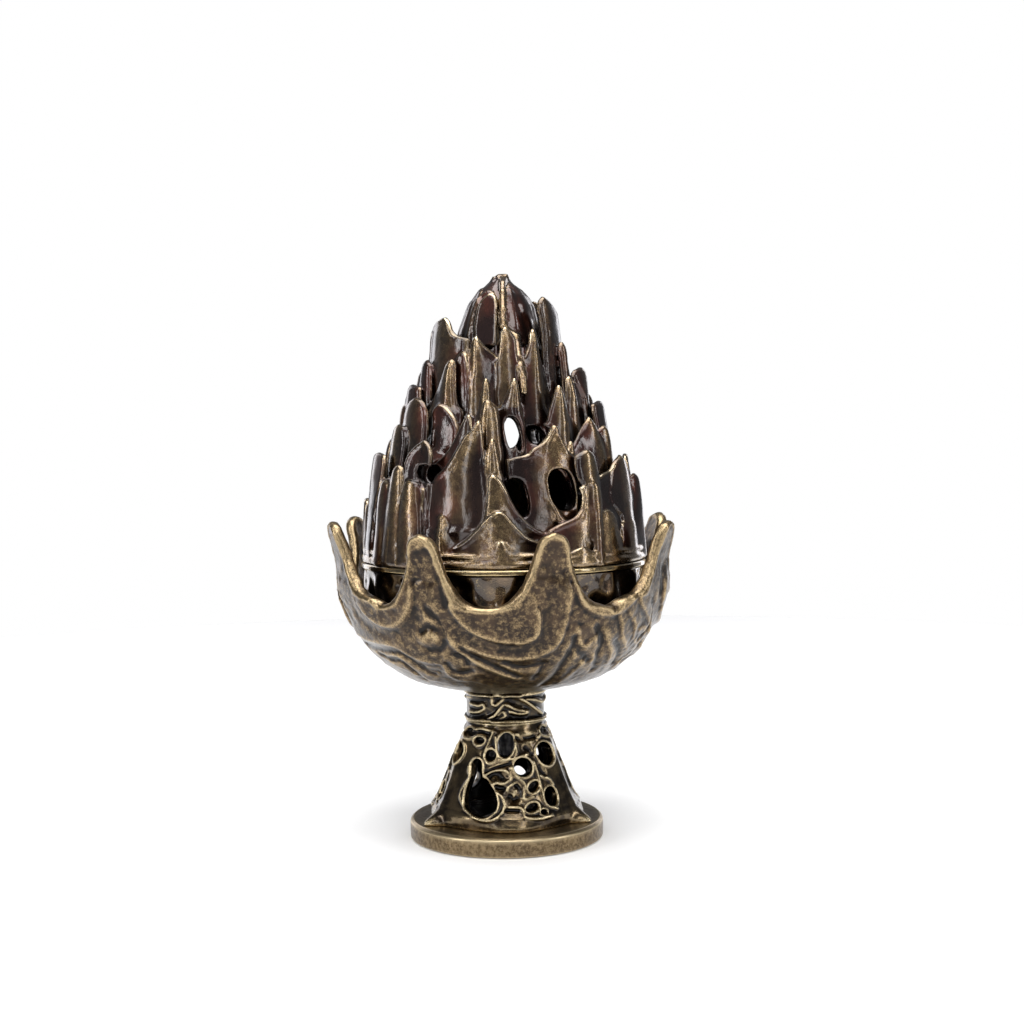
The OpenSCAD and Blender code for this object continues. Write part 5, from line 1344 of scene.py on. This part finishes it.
floor = bpy.data.meshes.new("floor")
ring = [(0.6 * math.sin(math.tau * k / 96), 0.6 * math.cos(math.tau * k / 96), 0) for k in range(96)]
floor.from_pydata(ring, [], [tuple(reversed(range(96)))])
fo = bpy.data.objects.new("floor", floor)
bpy.context.scene.collection.objects.link(fo)
fm = bpy.data.materials.new("floor_white")
fm.use_nodes = True
fm.node_tree.nodes["Principled BSDF"].inputs["Base Color"].default_value = (0.93, 0.93, 0.93, 1)
fm.node_tree.nodes["Principled BSDF"].inputs["Roughness"].default_value = 0.7
fm.node_tree.nodes["Principled BSDF"].inputs["Emission Color"].default_value = (1, 1, 1, 1)
fm.node_tree.nodes["Principled BSDF"].inputs["Emission Strength"].default_value = 0.1
floor.materials.append(fm)

w = bpy.data.worlds.new("studio")
bpy.context.scene.world = w
w.use_nodes = True
wt = w.node_tree
sky = wt.nodes["Background"]
sky.inputs["Color"].default_value = (0.96, 0.97, 1.0, 1)
sky.inputs["Strength"].default_value = 0.19
page = wt.nodes.new("ShaderNodeBackground")
page.inputs["Color"].default_value = (1, 1, 1, 1)
page.inputs["Strength"].default_value = 1.0
pick = wt.nodes.new("ShaderNodeMixShader")
wt.links.new(wt.nodes.new("ShaderNodeLightPath").outputs["Is Camera Ray"], pick.inputs[0])
wt.links.new(sky.outputs[0], pick.inputs[1])
wt.links.new(page.outputs[0], pick.inputs[2])
wt.links.new(pick.outputs[0], wt.nodes["World Output"].inputs["Surface"])
bpy.context.scene.view_settings.view_transform = "Standard"


def soft_light(name, loc, aim, size, power, tint=(1, 1, 1)):
    l = bpy.data.lights.new(name, "AREA")
    l.shape = "RECTANGLE"
    l.size, l.size_y = size
    l.energy = power
    l.color = tint
    o = bpy.data.objects.new(name, l)
    bpy.context.scene.collection.objects.link(o)
    o.location = loc
    o.rotation_mode = "QUATERNION"
    o.rotation_quaternion = (Vector(aim) - Vector(loc)).to_track_quat("-Z", "Y")
    return o


MID = (0, 0, 0.09)
soft_light("left_front", (-0.62, -0.38, 0.34), MID, (0.1, 0.7), 1.9)
soft_light("right_front", (0.68, -0.30, 0.34), MID, (0.1, 0.7), 1.6)
soft_light("strip_left", (-0.27, -0.64, 0.30), MID, (0.09, 0.5), 0.6)
soft_light("strip_right", (0.32, -0.62, 0.30), MID, (0.09, 0.5), 0.6)
soft_light("front", (0, -0.75, 0.75), MID, (0.6, 0.3), 3.0)
soft_light("left_back", (-0.48, 0.64, 0.26), MID, (0.3, 0.6), 1.0, (0.97, 0.96, 1.0))
soft_light("right_back", (0.42, 0.70, 0.26), MID, (0.18, 0.6), 0.7, (0.97, 0.96, 1.0))
soft_light("top", (0, -0.1, 0.95), MID, (0.8, 0.8), 10.0)

cam = bpy.data.cameras.new("camera")
cam.sensor_width = 36
cam.lens = 53.96
cam.clip_start = 0.01
co = bpy.data.objects.new("camera", cam)
bpy.context.scene.collection.objects.link(co)
pitch = math.atan((512 - 440.9) / 1535.0)
co.matrix_world = Matrix.Translation((0, -0.475, 0.1227)) @ Matrix.Rotation(math.pi / 2 - pitch, 4, "X") @ Matrix.Rotation(math.radians(-0.7), 4, "Z")
cam.shift_x = (512 - 503) / 1024
bpy.context.scene.camera = co
